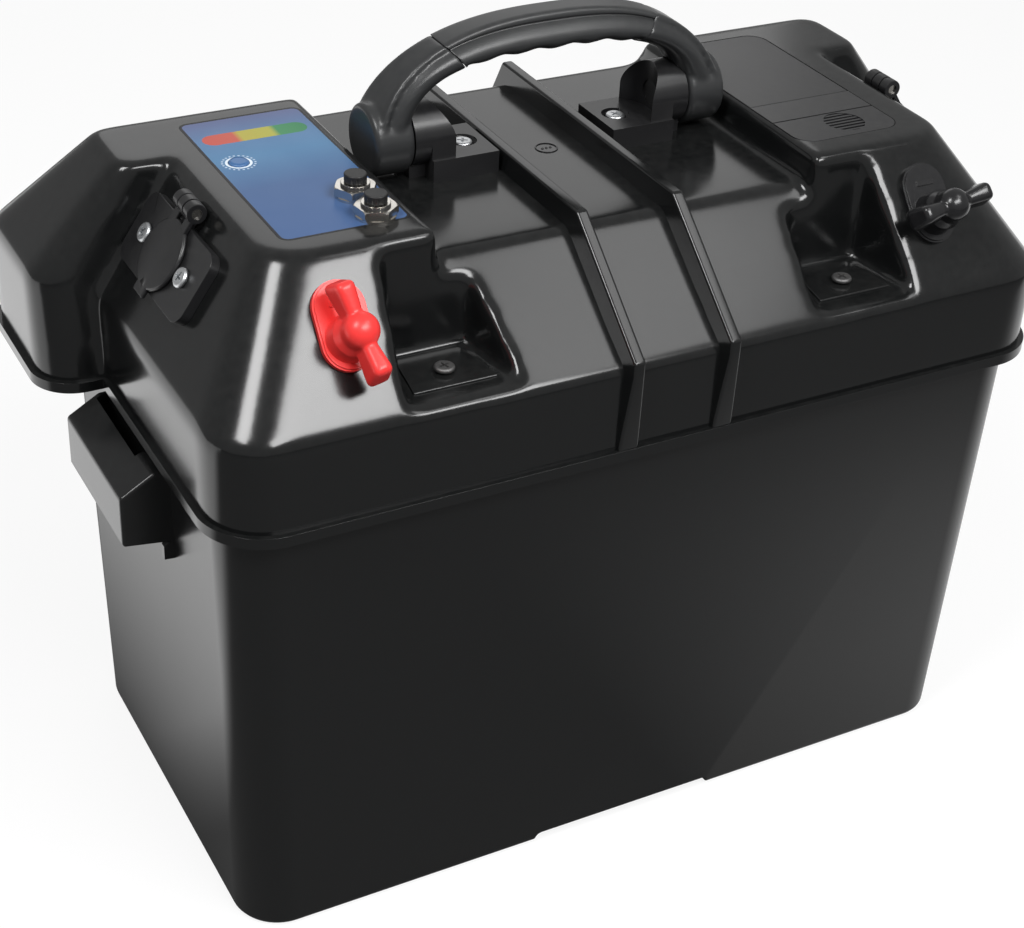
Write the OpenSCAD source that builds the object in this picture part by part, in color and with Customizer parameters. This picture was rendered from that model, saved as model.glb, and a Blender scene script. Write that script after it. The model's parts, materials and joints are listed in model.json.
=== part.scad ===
// Portable 12 V battery box: a tub for a deep-cycle battery under a lift-off lid
// that carries a folding handle, a charge meter, two breakers, two 12 V sockets,
// two stud terminals and a small storage compartment.
// Millimetres, +Z up, front towards -Y, origin at the bottom centre of the tub.

/* [Tub] */
// Length of the tub at its top edge
tub_len_top = 356; // [350:1:358]
// Width of the tub at its top edge
tub_wid_top = 192; // [186:1:194]
// How far each end wall leans in on its way down to the floor
tub_draft_x = 4; // [3:0.5:10]
// How far the front and back walls lean in on their way down to the floor
tub_draft_y = 2.5; // [2:0.5:6]
// Radius of the tub's upright corners
tub_corner_r = 20; // [14:1:24]
// Height of the tub from the ground to the top of its flange
tub_h = 198.5; // [170:0.5:210]
// Wall thickness of the tub
tub_wall = 3; // [2.5:0.1:4]
// Thickness of the tub's floor
tub_floor = 3.5; // [3:0.1:5]
// How far the flange stands out past the tub's ends
flange_out = 3.3; // [3:0.1:3.6]
// How far the flange stands out past the tub's front and back
flange_out_y = 5.3; // [4.5:0.1:5.6]
// Thickness of the flange
flange_t = 2; // [1.5:0.1:3]
// Height of the locating lip above the flange
lip_h = 4; // [2:0.5:6]
// Width of the strap channel under the floor
channel_w = 88; // [60:1:110]
// Depth of the strap channel
channel_d = 4.5; // [3:0.5:6]

/* [End lugs] */
// Length of each strap lug along the tub's end
lug_len = 65; // [50:1:80]
// Distance from the middle of the tub to the lug's outer face
lug_reach = 197.5; // [193:0.5:200]
// Height of the lug's outer face
lug_face_h = 22; // [18:1:28]
// Wall thickness of the lugs
lug_wall = 2.8; // [2:0.1:4]
// Width of the strap slot in the lug's top
lug_slot_w = 4.5; // [4:0.1:5.5]
// Length of the strap slot in the lug's top
lug_slot_len = 46; // [35:1:50]

/* [Lid] */
// Length of the lid's upright band
lid_len = 364; // [362:1:370]
// Width of the lid's upright band
lid_wid = 204; // [202:1:208]
// Radius of the lid's upright corners
lid_corner_r = 24; // [18:1:28]
// Wall thickness of the lid
lid_wall = 3; // [2.5:0.1:3.4]
// Height of the lid's upright band above the flange
band_h = 36.5; // [30:0.5:42]
// Height of the raised tops above the flange
plateau_h = 86.5; // [80:0.5:92]
// Half length of the raised tops
plateau_half = 148; // [144:1:151]
// Distance from the middle to the front edge of the raised tops
plateau_front = 60; // [57:1:62]
// Distance from the middle to the rear edge of the raised tops
plateau_rear = 70; // [67:1:74]
// How far the bead stands out around the lid's bottom edge
bead_out = 2; // [1:0.1:2.5]
// Height of the bead
bead_h = 4.5; // [3:0.1:6]
// Half width of the lowered middle
saddle_half = 82; // [80.5:0.5:83]
// How far the lowered middle lies below the raised tops
saddle_drop = 13; // [10:0.5:16]
// Distance from the middle to the lowered middle's front edge
saddle_front = 54; // [50:1:58]
// Gap between the lid and the tub's flange edge and lip
lid_gap = 0.4; // [0.2:0.1:0.6]

/* [End hoods] */
// Distance from the middle to a hood's outer face
hood_reach = 206; // [202:1:212]
// Distance from the middle line to a hood's front face
hood_front = 26; // [24:1:34]
// Height of a hood's upright walls above the flange
hood_band_h = 44; // [38:0.5:50]
// Distance from the middle to the hood's top edge
hood_top_reach = 170; // [164:1:176]
// Radius of the hood's upright corners
hood_r = 16; // [8:1:20]

/* [Ribs and pockets] */
// Distance from the middle to each rib's centre
rib_x = 21; // [16:0.5:22]
// Width of a rib at its foot
rib_w = 9; // [6:0.5:10]
// Width of a rib at its crest
rib_crest_w = 5.5; // [3:0.5:6]
// Height of a rib
rib_h = 8; // [5:0.5:8.5]
// Distance from the middle to the centre of each front pocket
pocket_x = 88; // [86:0.5:92]
// Width of a pocket at its front
pocket_w = 48; // [40:1:50]
// Width of a pocket at its back
pocket_w_back = 36; // [28:1:38]
// Distance from the middle line to a pocket's back wall
pocket_back = 62; // [60:1:66]
// Height of a pocket's floor above the flange
pocket_floor_h = 39; // [38:0.5:44]
// Distance from the lid's front to a pocket's screw
pocket_screw_in = 22; // [20:0.5:28]

/* [Charge meter] */
// Width of the meter's label
label_w = 51; // [46:1:54]
// Length of the meter's label
label_len = 108; // [104:1:112]
// Thickness of the label
label_t = 1; // [0.6:0.1:1.2]
// Distance from the middle to the label's centre
label_x = 111.5; // [110:0.5:114]
// Distance from the middle line to the label's centre
label_y = 6; // [5:0.5:7]
// Length of the gauge window
gauge_len = 42; // [34:1:44]
// Width of the gauge window
gauge_w = 9; // [6:0.5:10]
// Radius of the test button
test_r = 4; // [3:0.1:4.5]
// Travel of the test button
test_travel = 0.8; // [0.5:0.1:1]

/* [Breakers] */
// Distance between the two breakers
breaker_pitch = 18; // [17.5:0.5:20]
// Radius of a breaker's threaded collar
breaker_r = 5.5; // [5:0.1:6]
// Distance across the flats of a breaker's nut
breaker_nut_af = 14.5; // [14:0.5:16]
// Height of a breaker's nut
breaker_nut_h = 3.5; // [2.5:0.1:4.5]
// Radius of a breaker's reset button
breaker_btn_r = 3.9; // [3:0.1:4.2]
// Travel of a breaker's reset button when it trips
breaker_travel = 3; // [1:0.5:4]

/* [12 V sockets] */
// Length of a socket's flange along the lid's end
socket_len = 64; // [60:1:66]
// Width of a socket's flange up the slope
socket_w = 29; // [28:0.5:30]
// Thickness of a socket's flange
socket_t = 4; // [3:0.1:5]
// Inner radius of a socket
socket_r = 10.5; // [10.4:0.1:10.6]
// Wall thickness of a socket's barrel
socket_wall = 1.8; // [1.2:0.1:2]
// Depth of a socket below the slope
socket_depth = 34; // [28:1:38]
// Distance from the middle line to a socket's centre, towards the front
socket_y = 5.5; // [5:0.5:6]
// Distance up the slope to a socket's centre
socket_s = 34; // [32:0.5:36]
// Radius of a socket's cap
cap_r = 14.4; // [13:0.1:14.8]
// Thickness of a socket's cap
cap_t = 2.6; // [2:0.1:3]
// Distance from a socket's centre to each of its screws
socket_screw_pitch = 19.5; // [19:0.5:22]
// Outer radius of a cap's hinge barrel
knuckle_r = 4; // [3.5:0.1:4.2]
// Length of a cap's hinge barrel
knuckle_len = 15; // [12:1:20]
// Radius of a cap's hinge pin
cap_pin_r = 2; // [1.5:0.1:2.4]

/* [Terminals] */
// Distance from the middle to each terminal
term_x = 127; // [124:1:130]
// Distance up the front slope to a terminal's stud
term_s = 33; // [32:0.5:35]
// Length of a terminal's base
term_len = 33; // [30:1:36]
// Width of a terminal's base
term_w = 20; // [18:1:21]
// Thickness of a terminal's base
term_t = 3; // [2:0.1:4]
// Height of the cone around a stud
cone_h = 6; // [4:0.5:8]
// Radius of a terminal stud
stud_r = 4; // [3:0.5:4]
// Span of a wing nut's wings
wing_span = 37; // [34:1:40]
// Thickness of a wing
wing_t = 7; // [5:0.5:8]
// Height of a wing nut
wing_nut_h = 14; // [13:0.5:16]

/* [Handle] */
// Distance from the middle to a handle arm's outer face
arm_out = 78.5; // [77:0.5:80]
// Thickness of a handle arm
arm_t = 16.5; // [14:0.5:16.5]
// Depth of the handle from front to back
handle_d = 26; // [20:1:28]
// Height of the handle's top above its pivot
handle_h = 44; // [44:0.5:60]
// Thickness of the grip
grip_t = 16; // [14:0.5:18]
// Half length of the soft grip
grip_half = 48; // [40:1:52]
// Depth of a finger wave in the grip
wave_d = 1.1; // [0.5:0.1:2]
// Distance from one finger wave to the next
wave_pitch = 15.5; // [14:0.5:18]
// Distance from the middle line to the pivot, towards the rear
pivot_y = 14; // [10:1:20]
// Height of the pivot above the lowered middle
pivot_h = 16; // [15.5:0.5:18]
// Radius of the handle's knuckles
handle_knuckle_r = 14.5; // [13:0.5:15]
// Radius of the pivot pins
handle_pin_r = 5; // [4:0.5:6]

/* [Handle brackets] */
// Distance from the middle to a bracket's inner end
bracket_in = 26; // [26:0.5:27]
// Height of a bracket's screw pad above the lowered middle
pad_h = 9; // [6:0.5:10]
// Distance from the middle to each bracket screw
bracket_screw_x = 35; // [33.5:0.5:36]
// Radius of the round cut beside the screw
bracket_cut_r = 16; // [16:0.5:20]
// Gap between a bracket and its handle arm
arm_gap = 0.5; // [0.3:0.1:1]
// Radius of a bracket's hub
hub_r = 13; // [11:0.5:14]
// Length of the hub that stands alone beside the handle arm
hub_len = 7; // [6.8:0.1:8]
// Width of the web under the hub
web_w = 14; // [10:0.5:14]

/* [Compartment] */
// Width of the compartment's cover panel
cover_w = 49; // [44:1:50]
// Length of the whole panel
panel_len = 107; // [104:1:110]
// Distance from the middle to the panel's centre
panel_x = 109.5; // [108:0.5:111]
// Length of the lift-out cover at the panel's front
cover_len = 38; // [34:1:44]
// Thickness of the panel
panel_t = 2; // [1.6:0.1:2.4]
// Depth of the storage tray
tray_d = 24; // [16:1:28]
// Wall thickness of the tray
tray_wall = 1.6; // [1.2:0.1:2]

/* [Fits] */
// Radial clearance of a turning fit
run_fit = 0.06; // [0.02:0.01:0.1]
// Clearance around screws and collars that pass through a wall
hole_gap = 0.2; // [0.1:0.05:0.3]
// Gap around a part that slides or opens
slide_gap = 0.3; // [0.2:0.05:0.4]
// Radius of the countersunk flange screws' shanks
screw_r = 1.6; // [1.2:0.1:2]
// Radius of the pan heads
pan_r = 4; // [3:0.1:4.2]
// Height of the pan heads
pan_h = 2; // [1.2:0.1:2.4]

/* [Hidden] */
// Slices of a faceted corner and of a true round
cs = 24;
rs = 64;
eps = 0.2;
tub_len_base = tub_len_top - 2*tub_draft_x;
tub_wid_base = tub_wid_top - 2*tub_draft_y;
// Heights measured from the ground
flange_z = tub_h;
lid_z0 = tub_h - flange_t;
band_z = tub_h + band_h;
plateau_z = tub_h + plateau_h;
saddle_z = plateau_z - saddle_drop;
hood_z = tub_h + hood_band_h;
pocket_z = tub_h + pocket_floor_h;
// Flat faces where the lid's solids meet
lid_cut_a = saddle_half - 2;
lid_cut_b = label_x + label_w/2 + 4;
hood_cut = hood_front - 4;
lid_hx = lid_len/2;
lid_hy = lid_wid/2;
tub_hx = tub_len_top/2;
tub_hy = tub_wid_top/2;
// Slopes: the end slope and the front slope, as a run and a rise
end_run = lid_hx - plateau_half;
front_run = lid_hy - plateau_front;
slope_rise = plateau_z - band_z;
end_tilt = atan2(slope_rise, end_run);
front_tilt = atan2(slope_rise, front_run);
rear_run = lid_hy - plateau_rear;
hood_run = hood_reach - hood_top_reach;
hood_rise = plateau_z - hood_z;
// Where a slope that starts at half size w lies at height z above its foot, t further in
function slope_at(w, run, rise, z, t) = w - z*run/rise - t*norm([run, rise])/rise;
// Pieces that sit on the raised tops
label_z = plateau_z - label_t;
breaker_x = label_x - 13.5;
breaker_y = label_y - label_len/2 + 6.5;
gauge_y = label_y + 35.5;
test_x = label_x + 15.5;
test_y = label_y + 13;
board_t = 1.6;
board_w = gauge_len + 6;
board_len = board_w/2 + gauge_w + 1;
board_z = plateau_z - 8;
washer_t = 1;
term_stack = washer_t + 6.5;
// Handle
pivot_z = saddle_z + pivot_h;
arm_in = arm_out - arm_t;
bracket_out = arm_in - arm_gap;
pin_end = arm_out - 2.5;
// Compartment
panel_y = label_y - 0.5;
panel_front = panel_y - panel_len/2;
ledge_w = 3.5;

// Rounded rectangle given by its half sizes
module rrect(hx, hy, r, n = rs) {
    square([2*hx - 2*r, 2*hy], center = true);
    square([2*hx, 2*hy - 2*r], center = true);
    for (sx = [-1, 1], sy = [-1, 1])
        translate([sx*(hx - r), sy*(hy - r)]) circle(r = r, $fn = n);
}
// Thin rounded slab for hulls, from x0 to x1 and y0 to y1
module slab(x0, x1, y0, y1, r, z) {
    translate([(x0 + x1)/2, (y0 + y1)/2, z])
        linear_extrude(eps) rrect((x1 - x0)/2, (y1 - y0)/2, r, cs);
}
module side(s) {
    if (s < 0) mirror([1, 0, 0]) children();
    else children();
}
// Places on the lid's end slope (local +Z outwards, local -X up the slope)
module on_end(s, y) {
    translate([lid_hx - s*cos(end_tilt), y, band_z + s*sin(end_tilt)])
        rotate([0, end_tilt, 0]) children();
}
// Places on the lid's front slope (local +Z outwards, local +Y up the slope)
module on_front(x, s) {
    translate([x, -lid_hy + s*cos(front_tilt), band_z + s*sin(front_tilt)])
        rotate([front_tilt, 0, 0]) children();
}
module hexagon(af, h) {
    cylinder(r = af/2/cos(30), h = h, $fn = 6);
}
module pan_screw(len) {
    cylinder(r1 = pan_r, r2 = pan_r*0.72, h = pan_h, $fn = rs);
    translate([0, 0, -len]) cylinder(r = screw_r, h = len + 0.1, $fn = rs);
}

// ---- Tub ----
module tub_hull(t) {
    hull() {
        slab(-tub_len_base/2 + t + 2.5, tub_len_base/2 - t - 2.5,
            -tub_wid_base/2 + t + 2.5, tub_wid_base/2 - t - 2.5,
            tub_corner_r - t - 2.5, t > 0 ? tub_floor : 0);
        slab(-tub_len_base/2 + t, tub_len_base/2 - t,
            -tub_wid_base/2 + t, tub_wid_base/2 - t, tub_corner_r - t,
            t > 0 ? tub_floor + 3 : 3);
        slab(-tub_hx + t, tub_hx - t, -tub_hy + t, tub_hy - t,
            tub_corner_r - t, tub_h + (t > 0 ? 20 : -eps));
    }
}
module lug() {
    lug_top = tub_h - 8;
    lug_low = lug_top - 8 - lug_face_h;
    x0 = tub_len_base/2;
    difference() {
        rotate([90, 0, 0]) linear_extrude(lug_len, center = true)
            polygon([[x0, lug_top], [tub_hx + 6, lug_top],
                [lug_reach, lug_top - 8], [lug_reach, lug_low],
                [tub_hx - 1, lug_low - 3], [x0, lug_low - 3]]);
        rotate([90, 0, 0]) linear_extrude(lug_len - 2*lug_wall, center = true)
            polygon([[tub_hx - 0.2, lug_top - lug_wall], [tub_hx + 5, lug_top - lug_wall],
                [lug_reach - lug_wall, lug_top - 8 - lug_wall*0.6],
                [lug_reach - lug_wall, lug_low - 9], [tub_hx - 0.2, lug_low - 9]]);
        translate([tub_hx + 3.2, lug_len/2 - lug_slot_len - 3, lug_top - 12])
            cube([lug_slot_w, lug_slot_len, 14]);
    }
    translate([tub_hx - 2, -lug_len/2, lug_low - 7]) cube([5.5, lug_wall, 6]);
}
module tub() {
    color("#17181a") difference() {
        union() {
            tub_hull(0);
            translate([0, 0, tub_h - flange_t]) linear_extrude(flange_t)
                rrect(tub_hx + flange_out, tub_hy + flange_out_y, lid_corner_r - 1);
            translate([0, 0, tub_h - 1]) linear_extrude(lip_h + 1)
                rrect(tub_hx - lid_gap, tub_hy - lid_gap, tub_corner_r - lid_gap);
            for (s = [-1, 1]) side(s) lug();
        }
        tub_hull(tub_wall);
        translate([-channel_w/2, -tub_wid_top, -1]) cube([channel_w, 2*tub_wid_top, channel_d + 1]);
    }
    // The floor dips with the channel, so it keeps its thickness there
    color("#17181a") translate([-channel_w/2 - tub_floor, -tub_wid_base/2 + tub_wall + 3, tub_floor - 0.5])
        cube([channel_w + 2*tub_floor, tub_wid_base - 2*tub_wall - 6, channel_d + 0.5]);
}

// ---- Lid ----
// One ring of the main block at height z, o further in than the slopes
module main_ring(z, t, o, r) {
    ex = slope_at(lid_hx, end_run, slope_rise, z + eps - band_z, t) - o;
    fy = slope_at(lid_hy, front_run, slope_rise, z + eps - band_z, t) - o;
    ry = slope_at(lid_hy, rear_run, slope_rise, z + eps - band_z, t) - o;
    slab(-ex, ex, -fy, ry, r, z);
}
// One convex block of the lid, shrunk by t for its inside
module main_block(t) {
    z0 = lid_z0 - (t > 0 ? 5 : 0);
    hull() {
        slab(-lid_hx + t, lid_hx - t, -lid_hy + t, lid_hy - t, lid_corner_r - t, z0);
        slab(-lid_hx + t, lid_hx - t, -lid_hy + t, lid_hy - t, lid_corner_r - t,
            band_z - 3 - 0.3*t);
        main_ring(band_z + 2.2 - 0.3*t, t, 0, lid_corner_r - t);
        main_ring(plateau_z - t - 1.8, t, 0, 14 - t);
        main_ring(plateau_z - t - eps, t, 1.5, 12 - t);
    }
}
// One ring of a hood at height z, o further in than its slopes
module hood_ring(z, t, o, r) {
    ex = slope_at(hood_reach, hood_run, hood_rise, z + eps - hood_z, t) - o;
    ry = slope_at(lid_hy, rear_run, hood_rise, z + eps - hood_z, t) - o;
    slab(120, ex, hood_front + 2.6 + t + (z - hood_z)*0.06 + o, ry, r, z);
}
module hood_block(t) {
    z0 = lid_z0 - (t > 0 ? 5 : 0);
    hull() {
        slab(120, hood_reach - t, hood_front + t, lid_hy - t, hood_r - t, z0);
        slab(120, hood_reach - t, hood_front + 2.6 + t, lid_hy - t, hood_r - t,
            hood_z - 2.5 - 0.3*t);
        hood_ring(hood_z + 2 - 0.3*t, t, 0, hood_r - t);
        hood_ring(plateau_z - t - 1.8, t, 0, 10 - t);
        hood_ring(plateau_z - t - eps, t, 1.5, 9 - t);
    }
}
// Side view of what is above the lowered middle, grown by t
module saddle_cut(t) {
    dx = saddle_half + t;
    tf = atan2(slope_rise - saddle_drop, lid_hy - saddle_front);
    d = t/cos(tf);
    rotate([90, 0, 90]) linear_extrude(2*dx, center = true)
        polygon([[-lid_hy - 20, band_z - d - 20*tan(tf)], [-saddle_front, saddle_z - d],
            [-saddle_front + 4, saddle_z - t], [lid_hy + 40, saddle_z - t],
            [lid_hy + 40, plateau_z + 20], [-lid_hy - 20, plateau_z + 20]]);
}
// Plan of a front pocket, grown by t
module pocket_plan(t) {
    polygon([[pocket_x - pocket_w/2 - t, -lid_hy - 5], [pocket_x + pocket_w/2 + t, -lid_hy - 5],
        [pocket_x + pocket_w_back/2 + t, -pocket_back + t],
        [pocket_x - pocket_w_back/2 - t, -pocket_back + t]]);
}
module pocket_cut(t) {
    translate([0, 0, pocket_z - t]) linear_extrude(80) pocket_plan(t);
}
// Side view of a rib's edge at height h above the lid
module rib_side(h) {
    tf = atan2(slope_rise - saddle_drop, lid_hy - saddle_front);
    rear_top = slope_at(lid_hy, rear_run, slope_rise, saddle_z - band_z, 0);
    out = h*sin(tf);
    polygon([[lid_hy - 1, lid_z0 + bead_h], [lid_hy + bead_out - 0.2, lid_z0 + bead_h],
        [lid_hy + out, band_z - 1], [lid_hy + out, band_z + 3],
        [rear_top + 0.55*h, saddle_z + h], [-saddle_front - 0.45*h, saddle_z + h],
        [-lid_hy - out, band_z + h*cos(tf) - 1], [-lid_hy - out, band_z - 1],
        [-lid_hy - bead_out + 0.2, lid_z0 + bead_h], [-lid_hy + 1, lid_z0 + bead_h],
        [-lid_hy + 1, band_z - 2], [-saddle_front, saddle_z - 2],
        [rear_top - 2, saddle_z - 2], [lid_hy - 1, band_z - 4]]);
}
module ribs() {
    for (s = [-1, 1]) translate([s*rib_x, 0, 0]) rotate([90, 0, 90]) {
        linear_extrude(rib_w, center = true) rib_side(rib_h/2);
        linear_extrude(rib_crest_w, center = true) rib_side(rib_h);
    }
}
module lid_outline(o) {
    rrect(lid_hx + o, lid_hy + o, lid_corner_r + o);
    for (s = [-1, 1]) translate([s*(hood_reach + 120)/2, (hood_front + lid_hy)/2])
        rrect((hood_reach - 120)/2 + o, (lid_hy - hood_front)/2 + o, hood_r + o);
}
// The lid is one moulding. It is built as nine solids that meet on flat faces, so that
// each one collides as the thin open shell it is.
module lid_middle() { lid_piece() lid_slab(-1, lid_cut_a); }
module lid_left_top() { lid_piece() mirror([1, 0, 0]) lid_slab(lid_cut_a, lid_cut_b); }
module lid_right_top() { lid_piece() lid_slab(lid_cut_a, lid_cut_b); }
module lid_left_end() { lid_piece() side(-1) lid_end_box(-150, hood_cut); }
module lid_right_end() { lid_piece() side(1) lid_end_box(-150, hood_cut); }
module lid_left_hood() { lid_piece() side(-1) lid_end_box(hood_cut, 150); }
module lid_right_hood() { lid_piece() side(1) lid_end_box(hood_cut, 150); }
module lid_left_pocket() { lid_piece() side(-1) pocket_box(); }
module lid_right_pocket() { lid_piece() side(1) pocket_box(); }
module lid_piece() {
    color("#141516") intersection() {
        lid_moulding();
        children();
    }
}
// Full-depth slab between two distances from the middle, or across it where low < 0
module lid_slab(low, high) {
    from = low < 0 ? -high : low;
    difference() {
        translate([from, -150, lid_z0 - 10]) cube([high - from, 300, 150]);
        for (s = [-1, 1]) side(s) pocket_box();
    }
}
module lid_end_box(low, high) {
    translate([lid_cut_b, low, lid_z0 - 10]) cube([120, high - low, 150]);
}
module pocket_box() {
    translate([pocket_x - pocket_w/2 - lid_wall - 1, -150, pocket_z - lid_wall - 1])
        cube([pocket_w + 2*lid_wall + 2, 150 - pocket_back + lid_wall + 0.6, 150]);
}
module lid_moulding() {
    difference() {
        union() {
            difference() {
                union() {
                    main_block(0);
                    for (s = [-1, 1]) side(s) hood_block(0);
                    translate([0, 0, lid_z0]) linear_extrude(bead_h) lid_outline(bead_out);
                }
                saddle_cut(0);
                for (s = [-1, 1]) side(s) pocket_cut(0);
            }
            ribs();
        }
        difference() {
            union() {
                main_block(lid_wall);
                for (s = [-1, 1]) side(s) difference() {
                    hood_block(lid_wall);
                    translate([0, -20, 0]) cube([lid_hx + bead_out, 200, flange_z + 14]);
                }
            }
            saddle_cut(lid_wall);
            for (s = [-1, 1]) side(s) pocket_cut(lid_wall);
            // Thick pads under the panel, the meter and the bracket screws
            translate([panel_x - cover_w/2 - 3, panel_front - 3, plateau_z - panel_t - 2.5])
                cube([cover_w + 6, panel_len + 6, 10]);
            translate([-label_x - label_w/2 - 2, label_y - label_len/2 - 2, label_z - 2.5])
                cube([label_w + 4, label_len + 4, 10]);
            for (s = [-1, 1]) translate([s*bracket_screw_x, pivot_y, saddle_z - 10])
                cylinder(r = 4.5, h = 12, $fn = rs);
            for (sx = [-1, 1], sy = [-1, 1])
                translate([-label_x + sx*21, gauge_y - 10 + sy*14, board_z + board_t])
                    cylinder(r = 2.5, h = 12, $fn = rs);
        }
        // Seat on the tub's flange
        translate([0, 0, lid_z0 - 1]) linear_extrude(flange_t + 1)
            rrect(tub_hx + flange_out + lid_gap, tub_hy + flange_out_y + lid_gap,
                lid_corner_r - 1 + lid_gap);
        lid_holes();
    }
    pocket_pads();
}
// Holes and seats that other pieces use
module lid_holes() {
    translate([-label_x, label_y, label_z]) linear_extrude(5)
        rrect(label_w/2 + 0.1, label_len/2 + 0.1, 4.1);
    translate([-label_x, gauge_y, label_z - 10])
        cube([gauge_len + 2*hole_gap, gauge_w + 2*hole_gap, 30], center = true);
    translate([-test_x, test_y, label_z - 10])
        cylinder(r = test_r + hole_gap, h = 20, $fn = rs);
    for (i = [0, 1]) translate([-breaker_x, breaker_y + i*breaker_pitch, label_z - 12])
        cylinder(r = breaker_r + hole_gap, h = 20, $fn = rs);
    for (s = [-1, 1]) side(s) {
        on_end(socket_s, -socket_y) {
            translate([0, 0, -15]) cylinder(r = socket_r + socket_wall + hole_gap, h = 20, $fn = rs);
            for (t = [-1, 1]) translate([0, t*socket_screw_pitch, -15])
                cylinder(r = screw_r + hole_gap, h = 20, $fn = rs);
        }
        on_front(term_x, term_s) translate([0, 0, -15])
            cylinder(r = stud_r + hole_gap, h = 20, $fn = rs);
        translate([bracket_screw_x, pivot_y, saddle_z - 9])
            cylinder(r = screw_r + hole_gap, h = 20, $fn = rs);
        translate([pocket_x, -lid_hy + pocket_screw_in, pocket_z - 7])
            cylinder(r = screw_r + hole_gap, h = 20, $fn = rs);
    }
    // Recess for the compartment panel and the opening for its tray
    translate([panel_x, panel_y, plateau_z - panel_t]) linear_extrude(5)
        rrect(cover_w/2 + slide_gap, panel_len/2 + slide_gap, 8 + slide_gap);
    translate([panel_x - cover_w/2 + ledge_w, panel_front + ledge_w, plateau_z - 20])
        cube([cover_w - 2*ledge_w, cover_len + 1 - ledge_w, 30]);
}
// Raised pad around the screw and a bead along the back of each front pocket
module pocket_pads() {
    for (s = [-1, 1]) side(s) difference() {
        union() {
            translate([0, 0, pocket_z - 0.5]) linear_extrude(2)
                polygon([[pocket_x - 17, -lid_hy + pocket_screw_in - 10],
                    [pocket_x + 17, -lid_hy + pocket_screw_in - 10],
                    [pocket_x + 13, -pocket_back - 3], [pocket_x - 13, -pocket_back - 3]]);
            translate([pocket_x - pocket_w_back/2 - 1, -pocket_back - 1, pocket_z + 0.6])
                rotate([0, 90, 0]) cylinder(r = 1.8, h = pocket_w_back + 2, $fn = rs);
        }
        translate([pocket_x, -lid_hy + pocket_screw_in, pocket_z - 7])
            cylinder(r = screw_r + hole_gap, h = 20, $fn = rs);
    }
}

// ---- Charge meter ----
module meter_label() {
    color("#2b5f9e") difference() {
        translate([-label_x, label_y, label_z]) linear_extrude(label_t)
            rrect(label_w/2, label_len/2, 4);
        translate([-test_x, test_y, label_z - 1]) cylinder(r = test_r + hole_gap, h = 5, $fn = rs);
        for (i = [0, 1]) translate([-breaker_x, breaker_y + i*breaker_pitch, label_z - 1])
            cylinder(r = breaker_r + hole_gap, h = 5, $fn = rs);
        translate([-label_x, gauge_y, label_z]) cube([gauge_len, gauge_w, 5], center = true);
    }
}
module meter_board() {
    color("#1f5c36") difference() {
        translate([-label_x - board_w/2, gauge_y - 10 - board_len/2, board_z])
            cube([board_w, board_len, board_t]);
        for (sx = [-1, 1], sy = [-1, 1])
            translate([-label_x + sx*21, gauge_y - 10 + sy*14, board_z - 1])
                cylinder(r = 1.2, h = 4, $fn = rs);
    }
}
module meter_leds() {
    color("#c8b23a") translate([-label_x - gauge_len/2, gauge_y - gauge_w/2, board_z + board_t])
        cube([gauge_len, gauge_w, plateau_z - board_z - board_t]);
}
module test_button() {
    color("#e8edf2") translate([-test_x, test_y, board_z + board_t + test_travel])
        cylinder(r = test_r, h = plateau_z + 0.9 - board_z - board_t - test_travel, $fn = rs);
}

// ---- Breakers ----
module breaker_body(i) {
    color("#26272a") translate([-breaker_x, breaker_y + i*breaker_pitch, 0]) difference() {
        union() {
            translate([-14, -8, label_z - 2.5 - 26]) cube([26, 16, 26]);
            translate([0, 0, label_z - 3])
                cylinder(r = breaker_r, h = label_t + washer_t + breaker_nut_h + 4, $fn = rs);
        }
        translate([0, 0, label_z - 12]) cylinder(r = breaker_btn_r + run_fit, h = 40, $fn = rs);
    }
    for (t = [-10, 8]) color("#c9a24a")
        translate([-breaker_x + t - 0.4, breaker_y + i*breaker_pitch - 3, label_z - 2.5 - 34])
            cube([0.8, 6, 8]);
}
module breaker_front_body() { breaker_body(0); }
module breaker_rear_body() { breaker_body(1); }
module breaker_nuts() {
    color("#c9ccd0") for (i = [0, 1])
        translate([-breaker_x, breaker_y + i*breaker_pitch, plateau_z + washer_t]) difference() {
            rotate(i*20 + 8) hexagon(breaker_nut_af, breaker_nut_h);
            translate([0, 0, -1]) cylinder(r = breaker_r, h = 10, $fn = rs);
        }
}
module breaker_washers() {
    color("#b9bcc0") for (i = [0, 1])
        translate([-breaker_x, breaker_y + i*breaker_pitch, plateau_z]) difference() {
            cylinder(r = breaker_nut_af/2 + 0.5, h = washer_t, $fn = rs);
            translate([0, 0, -1]) cylinder(r = breaker_r, h = 10, $fn = rs);
        }
}
module breaker_button(i) {
    top = plateau_z + washer_t + breaker_nut_h + 1;
    color("#111213") translate([-breaker_x, breaker_y + i*breaker_pitch, 0]) {
        translate([0, 0, label_z - 10]) cylinder(r = breaker_btn_r, h = top - label_z + 12.5, $fn = rs);
        translate([0, 0, top + 2.5]) cylinder(r1 = breaker_btn_r, r2 = breaker_btn_r - 1, h = 1, $fn = rs);
    }
}
module breaker_front_button() { breaker_button(0); }
module breaker_rear_button() { breaker_button(1); }

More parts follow.
